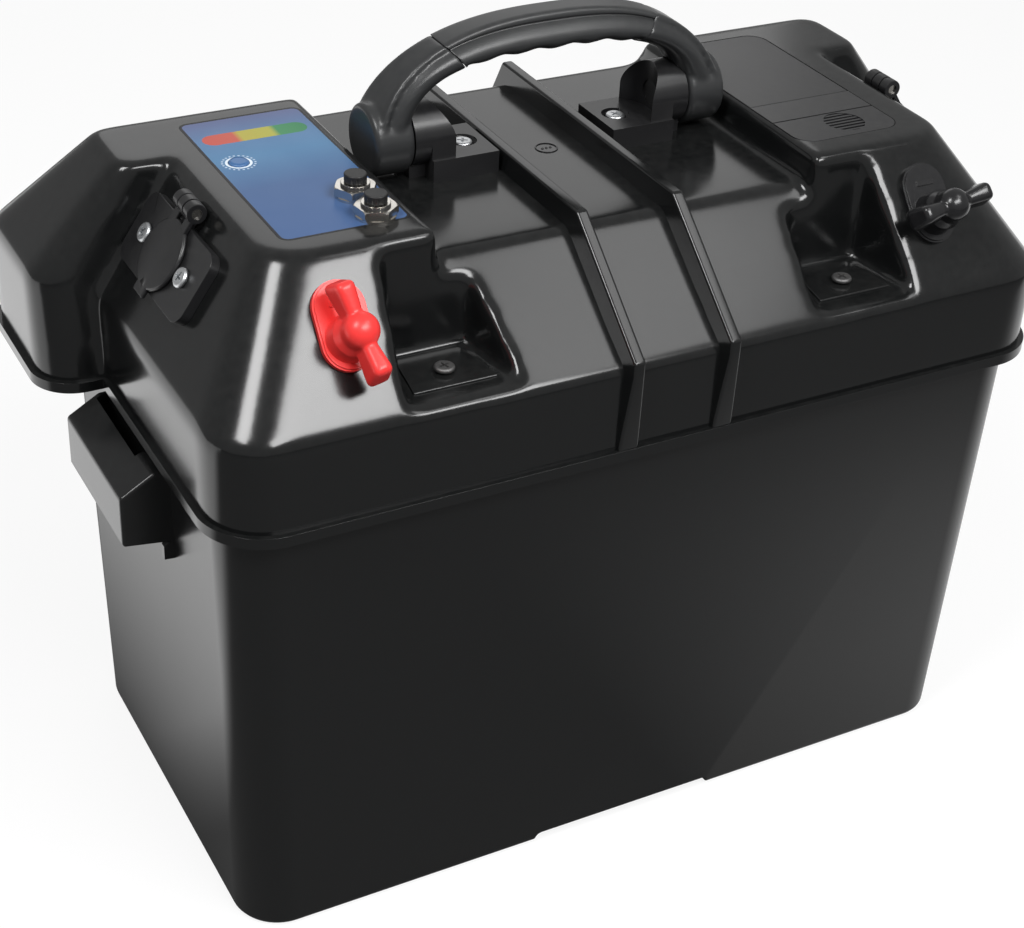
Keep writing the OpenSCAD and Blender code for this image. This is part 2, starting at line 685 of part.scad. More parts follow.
// ---- 12 V sockets, in the end slope's own frame ----
hinge_s = -(socket_w/2 + 2.2 + knuckle_r);
hinge_h = socket_t + cap_t - 1.4;
module socket_flange() {
    difference() {
        union() {
            linear_extrude(socket_t) rrect(socket_w/2, socket_len/2, 6);
            // Tongue and middle knuckle of the cap's hinge
            translate([hinge_s, -knuckle_len/6 + 0.2, 0.2])
                cube([-hinge_s - socket_w/2 + 3, knuckle_len/3 - 0.4, socket_t - 0.2]);
            translate([hinge_s, 0, hinge_h]) rotate([90, 0, 0])
                cylinder(r = knuckle_r, h = knuckle_len/3 - 0.4, center = true, $fn = rs);
        }
        translate([0, 0, -1]) cylinder(r = socket_r + socket_wall, h = 20, $fn = rs);
        for (t = [-1, 1]) translate([0, t*socket_screw_pitch, -1])
            cylinder(r = screw_r + hole_gap, h = 20, $fn = rs);
        translate([hinge_s, 0, hinge_h]) rotate([90, 0, 0])
            cylinder(r = cap_pin_r, h = 60, center = true, $fn = rs);
    }
}
module socket_barrel() {
    difference() {
        union() {
            translate([0, 0, -socket_depth])
                cylinder(r = socket_r + socket_wall, h = socket_depth + socket_t, $fn = rs);
        }
        translate([0, 0, -socket_depth + 6]) cylinder(r = socket_r, h = socket_depth + 20, $fn = rs);
        translate([0, 0, -socket_depth + 2]) cylinder(r = socket_r - 1.5, h = 6, $fn = rs);
        translate([0, 0, -socket_depth - 1]) cylinder(r = 3, h = 10, $fn = rs);
    }
}
module socket_contact() {
    translate([0, 0, -socket_depth - 4]) cylinder(r = 3, h = 6, $fn = rs);
    translate([0, 0, -socket_depth + 2]) cylinder(r1 = 5, r2 = 3.5, h = 2, $fn = rs);
}
module ring_nut() {
    z1 = -lid_wall;
    difference() {
        translate([0, 0, z1 - 6]) cylinder(r = socket_r + socket_wall + 3.5, h = 6, $fn = rs);
        translate([0, 0, z1 - 7]) cylinder(r = socket_r + socket_wall, h = 12, $fn = rs);
    }
}
module socket_cap() {
    k_w = knuckle_len/3 - 0.4;
    difference() {
        union() {
            translate([0, 0, socket_t + 0.05]) cylinder(r = cap_r, h = cap_t - 0.6, $fn = rs);
            translate([0, 0, socket_t + cap_t - 0.55])
                cylinder(r1 = cap_r, r2 = cap_r - 0.6, h = 0.6, $fn = rs);
            for (t = [-1, 1]) {
                translate([hinge_s, t*(knuckle_len - k_w)/2 - k_w/2, socket_t + 0.3])
                    cube([-hinge_s - 6, k_w, cap_t - 0.8]);
                translate([hinge_s, t*(knuckle_len - k_w)/2, hinge_h]) rotate([90, 0, 0])
                    cylinder(r = knuckle_r, h = k_w, center = true, $fn = rs);
            }
        }
        translate([hinge_s, 0, hinge_h]) rotate([90, 0, 0])
            cylinder(r = cap_pin_r + run_fit, h = 60, center = true, $fn = rs);
    }
}
module cap_pin() {
    translate([hinge_s, 0, hinge_h]) rotate([90, 0, 0])
        cylinder(r = cap_pin_r, h = knuckle_len - 2, center = true, $fn = rs);
}
module at_socket(s) { side(s) on_end(socket_s, -socket_y) children(); }
module left_socket_flange() { color("#191a1c") at_socket(-1) socket_flange(); }
module left_socket_barrel() { color("#b9bcc0") at_socket(-1) socket_barrel(); }
module left_socket_contact() { color("#c9a24a") at_socket(-1) socket_contact(); }
module left_ring_nut() { color("#1d1e20") at_socket(-1) ring_nut(); }
module left_socket_cap() { color("#1b1c1e") at_socket(-1) socket_cap(); }
module left_cap_pin() { color("#b9bcc0") at_socket(-1) cap_pin(); }
module right_socket_flange() { color("#191a1c") at_socket(1) socket_flange(); }
module right_socket_barrel() { color("#b9bcc0") at_socket(1) socket_barrel(); }
module right_socket_contact() { color("#c9a24a") at_socket(1) socket_contact(); }
module right_ring_nut() { color("#1d1e20") at_socket(1) ring_nut(); }
module right_socket_cap() { color("#1b1c1e") at_socket(1) socket_cap(); }
module right_cap_pin() { color("#b9bcc0") at_socket(1) cap_pin(); }
module socket_screws() {
    color("#d5d8db") for (s = [-1, 1]) at_socket(s)
        for (t = [-1, 1]) translate([0, t*socket_screw_pitch, socket_t]) pan_screw(socket_t + lid_wall + 5);
}

// ---- Terminals, in the front slope's own frame ----
module term_base() {
    difference() {
        union() {
            translate([0, 5, 0]) linear_extrude(term_t - 0.8)
                rrect(term_w/2, term_len/2, term_w/2 - 0.01);
            translate([0, 5, term_t - 0.9]) linear_extrude(0.9)
                rrect(term_w/2 - 0.7, term_len/2 - 0.7, term_w/2 - 0.71);
            cylinder(r1 = term_w/2 - 0.8, r2 = term_w/2 - 2.4, h = term_t + cone_h, $fn = rs);
        }
        translate([0, 0, -1]) cylinder(r = stud_r, h = 30, $fn = rs);
    }
}
module term_stud() {
    translate([0, 0, -lid_wall - term_stack - 8])
        cylinder(r = stud_r, h = lid_wall + term_stack + 8 + term_t + cone_h + wing_nut_h - 4.5, $fn = rs);
}
module wing_nut() {
    z0 = term_t + cone_h + slide_gap;
    r = 7.5;
    difference() {
        union() {
            translate([0, 0, z0]) cylinder(r1 = term_w/2 - 2.4, r2 = r, h = 3, $fn = rs);
            translate([0, 0, z0]) cylinder(r = r, h = wing_nut_h - r, $fn = rs);
            translate([0, 0, z0 + wing_nut_h - r]) sphere(r = r, $fn = 48);
            rotate([90, 0, 0]) linear_extrude(wing_t, center = true) {
                translate([-wing_span/2 + 5, z0 + 1.5]) square([wing_span - 10, wing_nut_h - 6]);
                for (t = [-1, 1]) translate([t*(wing_span/2 - 5.2), z0 + 6.2]) circle(r = 5.2, $fn = rs);
            }
        }
        translate([0, 0, z0 - 1]) cylinder(r = stud_r + run_fit, h = wing_nut_h - 3, $fn = rs);
    }
}
module at_term(s) { on_front(s*term_x, term_s) children(); }
module plus_mark(h) {
    translate([0, 13, h]) {
        cube([8, 2, 1.2], center = true);
        cube([2, 8, 1.2], center = true);
    }
}
module positive_base() {
    color("#d3222b") at_term(-1) {
        term_base();
        plus_mark(term_t);
    }
}
module negative_base() {
    color("#202124") at_term(1) {
        term_base();
        translate([0, 13, term_t]) cube([8, 2, 1.2], center = true);
    }
}
module positive_stud() { color("#c9ccd0") at_term(-1) term_stud(); }
module negative_stud() { color("#c9ccd0") at_term(1) term_stud(); }
module terminal_washers() {
    color("#c9ccd0") for (s = [-1, 1]) at_term(s) difference() {
        translate([0, 0, -lid_wall - washer_t]) cylinder(r = 8.5, h = washer_t, $fn = rs);
        translate([0, 0, -lid_wall - 5]) cylinder(r = stud_r, h = 9, $fn = rs);
    }
}
module terminal_nuts() {
    color("#c9ccd0") for (s = [-1, 1]) at_term(s) difference() {
        translate([0, 0, -lid_wall - term_stack]) hexagon(13, term_stack - washer_t);
        translate([0, 0, -lid_wall - term_stack - 2]) cylinder(r = stud_r, h = 20, $fn = rs);
    }
}
module positive_wing_nut() { color("#d3222b") at_term(-1) rotate(100) wing_nut(); }
module negative_wing_nut() { color("#1d1e20") at_term(1) rotate(8) wing_nut(); }

// ---- Handle ----
// Height of a rounded arch of half width a and height b at x
function arch(x, a, b) = b*pow(max(0, 1 - pow(abs(x)/a, 2.4)), 1/2.4);
arch_n = 30;
function arch_pts(a, b, x0, x1) = [for (i = [0:arch_n])
    let (q = -90 + 180*i/arch_n, x = a*sin(q)) if (x >= x0 && x <= x1) [x, arch(x, a, b)]];
// Band between two arches, o0 and o1 in from the handle's outside
module arch_band(o0, o1) {
    rise = handle_h + 8;
    difference() {
        polygon(concat([[-arm_out + o0, -8]], [for (p = arch_pts(arm_out - o0, rise - o0, -999, 999))
            [p[0], p[1] - 8]], [[arm_out - o0, -8]]));
        polygon(concat([[-arm_out + o1, -20]], [for (p = arch_pts(arm_out - o1, rise - o1*grip_t/arm_t, -999, 999))
            [p[0], p[1] - 8]], [[arm_out - o1, -20]]));
    }
}
module handle_solid() {
    rotate([90, 0, 0]) {
        linear_extrude(handle_d, center = true) arch_band(0, arm_t*0.55);
        linear_extrude(handle_d - 3, center = true) arch_band(arm_t*0.5, arm_t*0.64);
        linear_extrude(handle_d - 1, center = true) arch_band(arm_t*0.62, arm_t);
    }
}
module handle_core() {
    rotate([90, 0, 0]) linear_extrude(handle_d*0.45, center = true)
        intersection() {
            arch_band(arm_t*0.35, arm_t*0.7);
            square([2*grip_half, 200], center = true);
        }
}
module handle_frame() {
    color("#1e1f21") translate([0, pivot_y, pivot_z]) {
        difference() {
            union() {
                difference() {
                    handle_solid();
                    cube([2*grip_half, 100, 400], center = true);
                    translate([0, 0, -50]) cube([400, 100, 100], center = true);
                }
                for (s = [-1, 1]) side(s) {
                    translate([arm_in, 0, 0]) rotate([0, 90, 0])
                        cylinder(r = handle_knuckle_r, h = arm_t, $fn = rs);
                }
            }
            for (s = [-1, 1]) side(s) translate([arm_in - 1, 0, 0]) rotate([0, 90, 0])
                cylinder(r = handle_pin_r + run_fit, h = pin_end - arm_in + 1.5, $fn = rs);
            // Room for the brackets' hubs, all the way round
            for (s = [-1, 1]) side(s) translate([arm_in - 20, 0, 0]) rotate([0, 90, 0])
                cylinder(r = hub_r + 0.5, h = 20, $fn = rs);
        }
        handle_core();
    }
}
module handle_grip() {
    waves = floor(grip_half/wave_pitch);
    color("#1a1b1d") translate([0, pivot_y, pivot_z]) difference() {
        union() {
            intersection() {
                handle_solid();
                translate([-grip_half, -50, 0]) cube([2*grip_half, 100, 100]);
            }
        }
        handle_core();
        for (i = [-waves:waves]) translate([i*wave_pitch, 0,
            arch(i*wave_pitch, arm_in, handle_h + 8 - grip_t) - 8 - 14 + wave_d])
            rotate([90, 0, 0]) cylinder(r = 14, h = 60, center = true, $fn = rs);
    }
}
module bracket() {
    base = saddle_z;
    pad_out = bracket_out - hub_len;
    difference() {
        union() {
            translate([bracket_in, pivot_y - handle_knuckle_r, base])
                cube([pad_out - bracket_in, 2*handle_knuckle_r, pad_h]);
            translate([bracket_screw_x, pivot_y - hub_r, base])
                cube([pad_out - bracket_screw_x, 2*hub_r, pivot_h]);
            translate([pad_out - 1, pivot_y - web_w/2, base])
                cube([hub_len + 1, web_w, pivot_h]);
            translate([bracket_screw_x, pivot_y, pivot_z]) rotate([0, 90, 0])
                cylinder(r = hub_r, h = bracket_out - bracket_screw_x, $fn = rs);
        }
        translate([bracket_screw_x, pivot_y, base + pad_h])
            cylinder(r = bracket_cut_r, h = 60, $fn = rs);
        translate([bracket_screw_x, pivot_y, base + pad_h - pan_h])
            cylinder(r = pan_r + 0.6, h = 60, $fn = rs);
        translate([bracket_screw_x, pivot_y, base - 5])
            cylinder(r = screw_r + hole_gap, h = 60, $fn = rs);
        translate([bracket_in, pivot_y, pivot_z]) rotate([0, 90, 0])
            cylinder(r = handle_pin_r, h = 60, $fn = rs);
        // Cored-out underside
        translate([bracket_screw_x + 6, pivot_y - handle_knuckle_r + 3, base - 1])
            cube([pad_out - bracket_screw_x - 9, 2*handle_knuckle_r - 6, pad_h - 2]);
    }
}
module handle_bracket_left() { color("#1b1c1e") side(-1) bracket(); }
module handle_bracket_right() { color("#1b1c1e") bracket(); }
module handle_pins() {
    x0 = bracket_screw_x + bracket_cut_r + 0.2;
    color("#b9bcc0") for (s = [-1, 1]) side(s) translate([x0, pivot_y, pivot_z])
        rotate([0, 90, 0]) cylinder(r = handle_pin_r, h = pin_end - x0, $fn = rs);
}
module bracket_screws() {
    color("#d5d8db") for (s = [-1, 1])
        translate([s*bracket_screw_x, pivot_y, saddle_z + pad_h - pan_h]) pan_screw(pad_h - pan_h + 7);
}

// ---- Compartment ----
module compartment_cover() {
    skirt_w = cover_w - 2*ledge_w - 2*hole_gap - 2*tray_wall - 2*slide_gap;
    skirt_len = cover_len + 1 - ledge_w - 2*hole_gap - 2*tray_wall - 2*slide_gap;
    color("#1f2022") difference() {
        union() {
            intersection() {
                translate([panel_x, panel_y, plateau_z - panel_t]) linear_extrude(panel_t)
                    rrect(cover_w/2, panel_len/2, 8);
                translate([0, panel_front - 1, 0]) cube([300, cover_len + 1 - slide_gap/2, 400]);
            }
            // Skirt that locates the cover in the tray
            difference() {
                translate([panel_x - skirt_w/2, panel_front + ledge_w + hole_gap + tray_wall + slide_gap,
                    plateau_z - panel_t - 2]) cube([skirt_w, skirt_len, 2.1]);
                translate([panel_x - skirt_w/2 + 1.4,
                    panel_front + ledge_w + hole_gap + tray_wall + slide_gap + 1.4,
                    plateau_z - panel_t - 3]) cube([skirt_w - 2.8, skirt_len - 2.8, 3]);
            }
        }
        // Ribbed thumb patch
        translate([panel_x + 4, panel_front + 12, plateau_z - 0.8]) difference() {
            cylinder(r = 8.5, h = 5, $fn = rs);
            for (i = [-3:3]) translate([-10, i*2.4 - 0.6, -1]) cube([20, 1.2, 1.6]);
        }
        // Cross groove
        translate([panel_x - cover_w/2 - 1, panel_front + 21, plateau_z - 0.4]) cube([cover_w + 2, 0.8, 5]);
    }
}
module compartment_tray() {
    x0 = panel_x - cover_w/2;
    y0 = panel_front;
    yt = y0 + cover_len;
    z_top = plateau_z - panel_t;
    color("#1a1b1c") {
        // Fixed rear panel
        intersection() {
            translate([panel_x, panel_y, z_top]) linear_extrude(panel_t)
                rrect(cover_w/2, panel_len/2, 8);
            translate([0, yt + slide_gap/2, 0]) cube([300, 200, 400]);
        }
        difference() {
            translate([x0 + ledge_w + hole_gap, y0 + ledge_w + hole_gap, z_top - tray_d])
                cube([cover_w - 2*ledge_w - 2*hole_gap, cover_len + 1 - ledge_w - 2*hole_gap, tray_d]);
            translate([x0 + ledge_w + hole_gap + tray_wall, y0 + ledge_w + hole_gap + tray_wall,
                z_top - tray_d + tray_wall])
                cube([cover_w - 2*ledge_w - 2*hole_gap - 2*tray_wall,
                    cover_len + 1 - ledge_w - 2*hole_gap - 2*tray_wall, tray_d]);
        }
    }
}

module pocket_screws() {
    color("#9a9da1") for (s = [-1, 1])
        translate([s*pocket_x, -lid_hy + pocket_screw_in, pocket_z + 1.5])
            pan_screw(lid_wall + 2);
}

tub();
lid_middle();
lid_left_top();
lid_right_top();
lid_left_end();
lid_right_end();
lid_left_hood();
lid_right_hood();
lid_left_pocket();
lid_right_pocket();
meter_label();
meter_board();
meter_leds();
test_button();
breaker_front_body();
breaker_rear_body();
breaker_nuts();
breaker_washers();
breaker_front_button();
breaker_rear_button();
left_socket_flange();
left_socket_barrel();
left_socket_contact();
left_ring_nut();
left_socket_cap();
left_cap_pin();
right_socket_flange();
right_socket_barrel();
right_socket_contact();
right_ring_nut();
right_socket_cap();
right_cap_pin();
socket_screws();
positive_base();
negative_base();
positive_stud();
negative_stud();
terminal_nuts();
terminal_washers();
positive_wing_nut();
negative_wing_nut();
handle_frame();
handle_grip();
handle_bracket_left();
handle_bracket_right();
handle_pins();
bracket_screws();
compartment_cover();
compartment_tray();
pocket_screws();
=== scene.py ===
import json
import math

import bmesh
import bpy
from mathutils import Matrix, Vector

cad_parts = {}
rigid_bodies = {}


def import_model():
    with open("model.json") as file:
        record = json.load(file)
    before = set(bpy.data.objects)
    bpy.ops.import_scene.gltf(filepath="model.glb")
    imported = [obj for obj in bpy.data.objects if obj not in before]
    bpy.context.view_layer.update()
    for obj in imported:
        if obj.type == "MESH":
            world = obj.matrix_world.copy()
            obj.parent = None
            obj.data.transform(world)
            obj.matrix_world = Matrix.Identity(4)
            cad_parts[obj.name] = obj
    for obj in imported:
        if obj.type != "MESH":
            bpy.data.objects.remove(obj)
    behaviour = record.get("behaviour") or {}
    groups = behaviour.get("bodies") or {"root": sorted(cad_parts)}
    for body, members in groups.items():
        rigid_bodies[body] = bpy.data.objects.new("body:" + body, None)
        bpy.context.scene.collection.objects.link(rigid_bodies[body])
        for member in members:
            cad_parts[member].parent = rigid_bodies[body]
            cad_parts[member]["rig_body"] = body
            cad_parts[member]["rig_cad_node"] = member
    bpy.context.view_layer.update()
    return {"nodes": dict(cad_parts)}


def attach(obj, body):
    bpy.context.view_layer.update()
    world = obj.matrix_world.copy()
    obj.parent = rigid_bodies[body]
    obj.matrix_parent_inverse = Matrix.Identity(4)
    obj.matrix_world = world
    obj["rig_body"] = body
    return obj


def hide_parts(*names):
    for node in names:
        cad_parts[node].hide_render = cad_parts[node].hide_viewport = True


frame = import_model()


# ---- Tub ----
# The tub that holds the battery is one injection moulding in black polypropylene: a
# drafted box with round corners, a flange and lip that the lid sits on, a channel
# under the floor for the hold-down strap and a strap lug on each end.
def clear():
    if bpy.context.object and bpy.context.object.mode != "OBJECT":
        bpy.ops.object.mode_set(mode="OBJECT")
    bpy.ops.object.select_all(action="DESELECT")


def choose(piece):
    clear()
    piece.select_set(True)
    bpy.context.view_layer.objects.active = piece
    return piece


def named(name):
    piece = bpy.context.object
    piece.name = name
    choose(piece)
    bpy.ops.object.transform_apply(location=True, rotation=True, scale=True)
    return piece


def block(name, low, high):
    clear()
    middle = [(a + b) / 2 for a, b in zip(low, high)]
    bpy.ops.mesh.primitive_cube_add(size=1, location=middle, scale=[b - a for a, b in zip(low, high)])
    return named(name)


def pick(piece, kind, test):
    """Opens the piece in edit mode with the faces or edges selected whose middle and
    direction pass the test."""
    choose(piece)
    bpy.ops.object.mode_set(mode="EDIT")
    bpy.ops.mesh.select_mode(type=kind)
    bpy.ops.mesh.select_all(action="DESELECT")
    mesh = bmesh.from_edit_mesh(piece.data)
    for part in mesh.faces if kind == "FACE" else mesh.edges:
        if kind == "FACE":
            part.normal_update()
            middle, way = part.calc_center_median(), part.normal
        else:
            middle = (part.verts[0].co + part.verts[1].co) / 2
            way = (part.verts[1].co - part.verts[0].co).normalized()
        if test(middle, way):
            part.select_set(True)
    bmesh.update_edit_mesh(piece.data)


def round_corners(piece, radius, steps, test=lambda m: True):
    pick(piece, "EDGE", lambda m, w: abs(w.z) > 0.9 and test(m))
    bpy.ops.mesh.bevel(offset=radius, segments=steps, affect="EDGES")
    clear()
    return piece


def finish_with(piece, kind, **settings):
    choose(piece)
    mod = piece.modifiers.new(kind.title(), kind)
    for key, value in settings.items():
        setattr(mod, key, value)
    bpy.ops.object.modifier_apply(modifier=mod.name)
    return piece


def soften(piece, width, steps=2, angle=35):
    return finish_with(piece, "BEVEL", width=width, segments=steps, angle_limit=math.radians(angle))


def combine(piece, other, how="DIFFERENCE"):
    finish_with(piece, "BOOLEAN", operation=how, solver="MANIFOLD", object=other)
    bpy.data.objects.remove(other)
    return piece


def profile(name, points, low, high):
    """A bar along X whose side view is the given (y, z) points."""
    clear()
    bpy.ops.mesh.primitive_circle_add(vertices=len(points), fill_type="NGON")
    piece = named(name)
    for vertex, (y, z) in zip(piece.data.vertices, points):
        vertex.co = (low, y, z)
    pick(piece, "FACE", lambda m, w: True)
    bpy.ops.mesh.extrude_region_move(TRANSFORM_OT_translate={"value": (high - low, 0, 0)})
    bpy.ops.mesh.select_all(action="SELECT")
    bpy.ops.mesh.normals_make_consistent(inside=False)
    clear()
    return piece


def smooth(piece, angle=32):
    choose(piece)
    bpy.ops.object.shade_smooth_by_angle(angle=math.radians(angle))
    return finish_with(piece, "WEIGHTED_NORMAL", keep_sharp=True, weight=80)


def draw_up(piece, rings, height):
    """Draws the piece's upward face through rings of (half length, half width, z)."""
    for hx, hy, z in rings:
        # only the inner face's middle lies at the centre; other upward faces lie off it
        pick(piece, "FACE", lambda m, w: w.z > 0.9 and abs(m.z - height) < 0.0002 and m.xy.length < 0.01)
        face = [f for f in bmesh.from_edit_mesh(piece.data).faces if f.select][0]
        nx, ny = max(v.co.x for v in face.verts), max(v.co.y for v in face.verts)
        bpy.ops.mesh.extrude_region_move(TRANSFORM_OT_translate={"value": (0, 0, z - height)})
        bpy.ops.transform.resize(value=(hx / nx, hy / ny, 1), center_override=(0, 0, z))
        height = z
    clear()
    return piece


base_x, base_y, rim_x, rim_y = 0.174, 0.0935, 0.178, 0.096
flange_low, flange_top, lip_top = 0.1965, 0.1985, 0.2025
tub = round_corners(block("tub_moulding", (-base_x, -base_y, 0), (base_x, base_y, flange_low)), 0.020, 16)
pick(tub, "FACE", lambda m, w: w.z > 0.9)
bpy.ops.transform.resize(value=(rim_x / base_x, rim_y / base_y, 1), center_override=(0, 0, flange_low))
pick(tub, "EDGE", lambda m, w: m.z < 0.001)
bpy.ops.mesh.bevel(offset=0.003, segments=4, affect="EDGES")
draw_up(
    tub,
    (
        (0.1813, 0.1013, flange_low), (0.1813, 0.1013, flange_top), (0.1776, 0.0956, flange_top),
        (0.1776, 0.0956, lip_top), (0.1750, 0.0930, lip_top), (0.1710, 0.0905, 0.0085),
    ),
    flange_low,
)
for side in (-1, 1):
    lug = profile(
        "lug",
        [(0.176, 0.1905), (0.184, 0.1905), (0.1975, 0.1825),
         (0.1975, 0.1605), (0.177, 0.1575), (0.1745, 0.1575)],
        -0.0325, 0.0325,
    )
    combine(lug, profile(
        "lug_hollow",
        [(0.1778, 0.1877), (0.183, 0.1877), (0.1947, 0.1808), (0.1947, 0.150), (0.1778, 0.150)],
        -0.0297, 0.0297,
    ))
    soften(lug, 0.0013, 3, 30)
    slot = [(0.1812, 0.178), (0.1857, 0.178), (0.1857, 0.193), (0.1812, 0.193)]
    combine(lug, profile("lug_slot", slot, -0.0165, 0.0295))
    tab = [(0.176, 0.150), (0.1815, 0.1505), (0.1815, 0.1565), (0.176, 0.160)]
    combine(lug, profile("tab", tab, -0.0325, -0.0297), "UNION")
    bpy.context.view_layer.update()
    choose(lug)
    bpy.ops.transform.rotate(value=math.radians(side * 90), orient_axis="Z", center_override=(0, 0, 0))
    bpy.ops.object.transform_apply(location=True, rotation=True, scale=True)
    combine(tub, lug, "UNION")
channel = block("channel", (-0.044, -0.12, -0.01), (0.044, 0.12, 0.0045))
pick(channel, "EDGE", lambda m, w: abs(w.y) > 0.9 and m.z > 0)
bpy.ops.mesh.bevel(offset=0.003, segments=3, affect="EDGES")
clear()
combine(tub, channel)
smooth(tub)


# The same skin shows on every black moulding: a slight mottle from the melt's flow,
# fine grain, a little dust and edges rubbed a shade lighter.
def new_group(name, inputs):
    """A node group with these inputs at these values, which gives out a colour, a
    roughness and a height."""
    group = bpy.data.node_groups.new(name, "ShaderNodeTree")

    def add_socket(label, way):
        kind = "NodeSocketColor" if label == "Colour" else "NodeSocketFloat"
        return group.interface.new_socket(name=label, in_out=way, socket_type=kind)

    for label, start in inputs.items():
        add_socket(label, "INPUT").default_value = start
    for label in ("Colour", "Roughness", "Height"):
        add_socket(label, "OUTPUT")
    return group, group.nodes.new("NodeGroupInput"), group.nodes.new("NodeGroupOutput")


def own_place(tree):
    """Where a point lies in its piece's own space."""
    return tree.nodes.new("ShaderNodeTexCoord").outputs["Object"]


def math_node(tree, how, a, b=None, clamp=False):
    node = tree.nodes.new("ShaderNodeMath")
    node.operation, node.use_clamp = how, clamp
    for socket, value in zip(node.inputs, (a, b)):
        if value is None:
            continue
        if isinstance(value, (int, float)):
            socket.default_value = value
        else:
            tree.links.new(value, socket)
    return node.outputs[0]


def noise(tree, where, scale, detail=3.0, rough=0.5):
    node = tree.nodes.new("ShaderNodeTexNoise")
    node.inputs["Scale"].default_value = scale
    node.inputs["Detail"].default_value = detail
    node.inputs["Roughness"].default_value = rough
    tree.links.new(where, node.inputs["Vector"])
    return node.outputs["Fac"]


def mix_colour(tree, amount, a, b):
    node = tree.nodes.new("ShaderNodeMix")
    node.data_type = "RGBA"
    for socket, value in (("Factor", amount), ("A", a), ("B", b)):
        if isinstance(value, (int, float, tuple)):
            node.inputs[socket].default_value = value
        else:
            tree.links.new(value, node.inputs[socket])
    return node.outputs["Result"]


skin, given, made = new_group("moulded skin", {
    "Colour": (0.012, 0.012, 0.013, 1), "Roughness": 0.25,
    "Mottle": 0.05, "Dust": 0.1, "Grain size": 900.0,
})
place = own_place(skin)
flow = noise(skin, place, 14, 4, 0.55)
speck = noise(skin, place, 260, 2, 0.6)
grain_tex = skin.nodes.new("ShaderNodeTexNoise")
skin.links.new(place, grain_tex.inputs["Vector"])
skin.links.new(given.outputs["Grain size"], grain_tex.inputs["Scale"])
grain_tex.inputs["Detail"].default_value = 2
normal = skin.nodes.new("ShaderNodeNewGeometry")
up = skin.nodes.new("ShaderNodeSeparateXYZ")
skin.links.new(normal.outputs["Normal"], up.inputs[0])
settled = math_node(skin, "MULTIPLY", math_node(skin, "MAXIMUM", up.outputs["Z"], 0.0), given.outputs["Dust"])
specks = math_node(skin, "SUBTRACT", math_node(skin, "MULTIPLY", speck, 2.2), 0.6, True)
dusty = math_node(skin, "MULTIPLY", settled, specks, True)
edges = math_node(skin, "SUBTRACT", normal.outputs["Pointiness"], 0.53, True)
worn = math_node(skin, "MULTIPLY", edges, 3.0, True)
tone = mix_colour(skin, dusty, given.outputs["Colour"], (0.11, 0.11, 0.105, 1))
rubbed = mix_colour(skin, math_node(skin, "MULTIPLY", worn, 0.05), tone, (0.35, 0.34, 0.33, 1))
skin.links.new(rubbed, made.inputs["Colour"])
shift = math_node(skin, "MULTIPLY", math_node(skin, "SUBTRACT", flow, 0.5), given.outputs["Mottle"])
rough = math_node(skin, "ADD", given.outputs["Roughness"], shift)
rough = math_node(skin, "ADD", rough, math_node(skin, "MULTIPLY", dusty, 0.25), True)
skin.links.new(rough, made.inputs["Roughness"])
grain_part = math_node(skin, "MULTIPLY", grain_tex.outputs["Fac"], 0.5)
relief = math_node(skin, "ADD", grain_part, math_node(skin, "MULTIPLY", flow, 0.5))
skin.links.new(relief, made.inputs["Height"])


def new_material(name):
    material = bpy.data.materials.new(name)
    material.use_nodes = True
    return material, material.node_tree, material.node_tree.nodes["Principled BSDF"]


def grouped(name, source, colour, settings, depth, strength):
    """A material whose colour, roughness and bump come from a node group."""
    material, tree, shell = new_material(name)
    group = tree.nodes.new("ShaderNodeGroup")
    group.node_tree = source
    group.inputs["Colour"].default_value = (*colour, 1)
    for label, value in settings.items():
        group.inputs[label].default_value = value
    bump = tree.nodes.new("ShaderNodeBump")
    bump.inputs["Strength"].default_value = strength
    bump.inputs["Distance"].default_value = depth
    tree.links.new(group.outputs["Height"], bump.inputs["Height"])
    tree.links.new(group.outputs["Colour"], shell.inputs["Base Color"])
    tree.links.new(group.outputs["Roughness"], shell.inputs["Roughness"])
    tree.links.new(bump.outputs["Normal"], shell.inputs["Normal"])
    return material, shell


def moulding(name, colour, roughness, mottle=0.06, dust=0.12, grain=900.0, depth=0.00003, strength=0.25):
    settings = {"Roughness": roughness, "Mottle": mottle, "Dust": dust, "Grain size": grain}
    material, shell = grouped(name, skin, colour, settings, depth, strength)
    shell.inputs["IOR"].default_value = 1.5
    return material


def dress(piece, material):
    piece.data.materials.clear()
    piece.data.materials.append(material)
    return piece


tub_black = moulding("satin polypropylene", (0.0062, 0.0066, 0.0068), 0.25, 0.05, 0.04, 1400.0, 0.00004, 0.3)
dress(tub, tub_black)
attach(tub, "tub")
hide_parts("tub")


# ---- Lid ----
# The lid is a second moulding in the same plastic, polished by its tool, so it is much
# glossier: raised tops with sloped sides, a lowered middle with two ribs across it, a
# hood over the back of each end, two front pockets and a bead round its bottom edge.
lid_x, lid_y, lid_corner, wall = 0.182, 0.102, 0.024, 0.003
band_top, saddle_z, rib_top, lid_top = 0.235, 0.272, 0.2800, 0.285
top_x, top_y, top_back, slope_rise = 0.148, 0.065, 0.005, 0.050
hood_root, hood_x, hood_y, hood_corner, hood_band = 0.120, 0.206, 0.026, 0.016, 0.2425
pocket_x, pocket_floor, rib_x, terminal_x = 0.088, 0.2375, 0.021, 0.127
test_x, test_y, breaker_x, breaker_y = -0.127, 0.019, -0.098, (-0.0415, -0.0235)


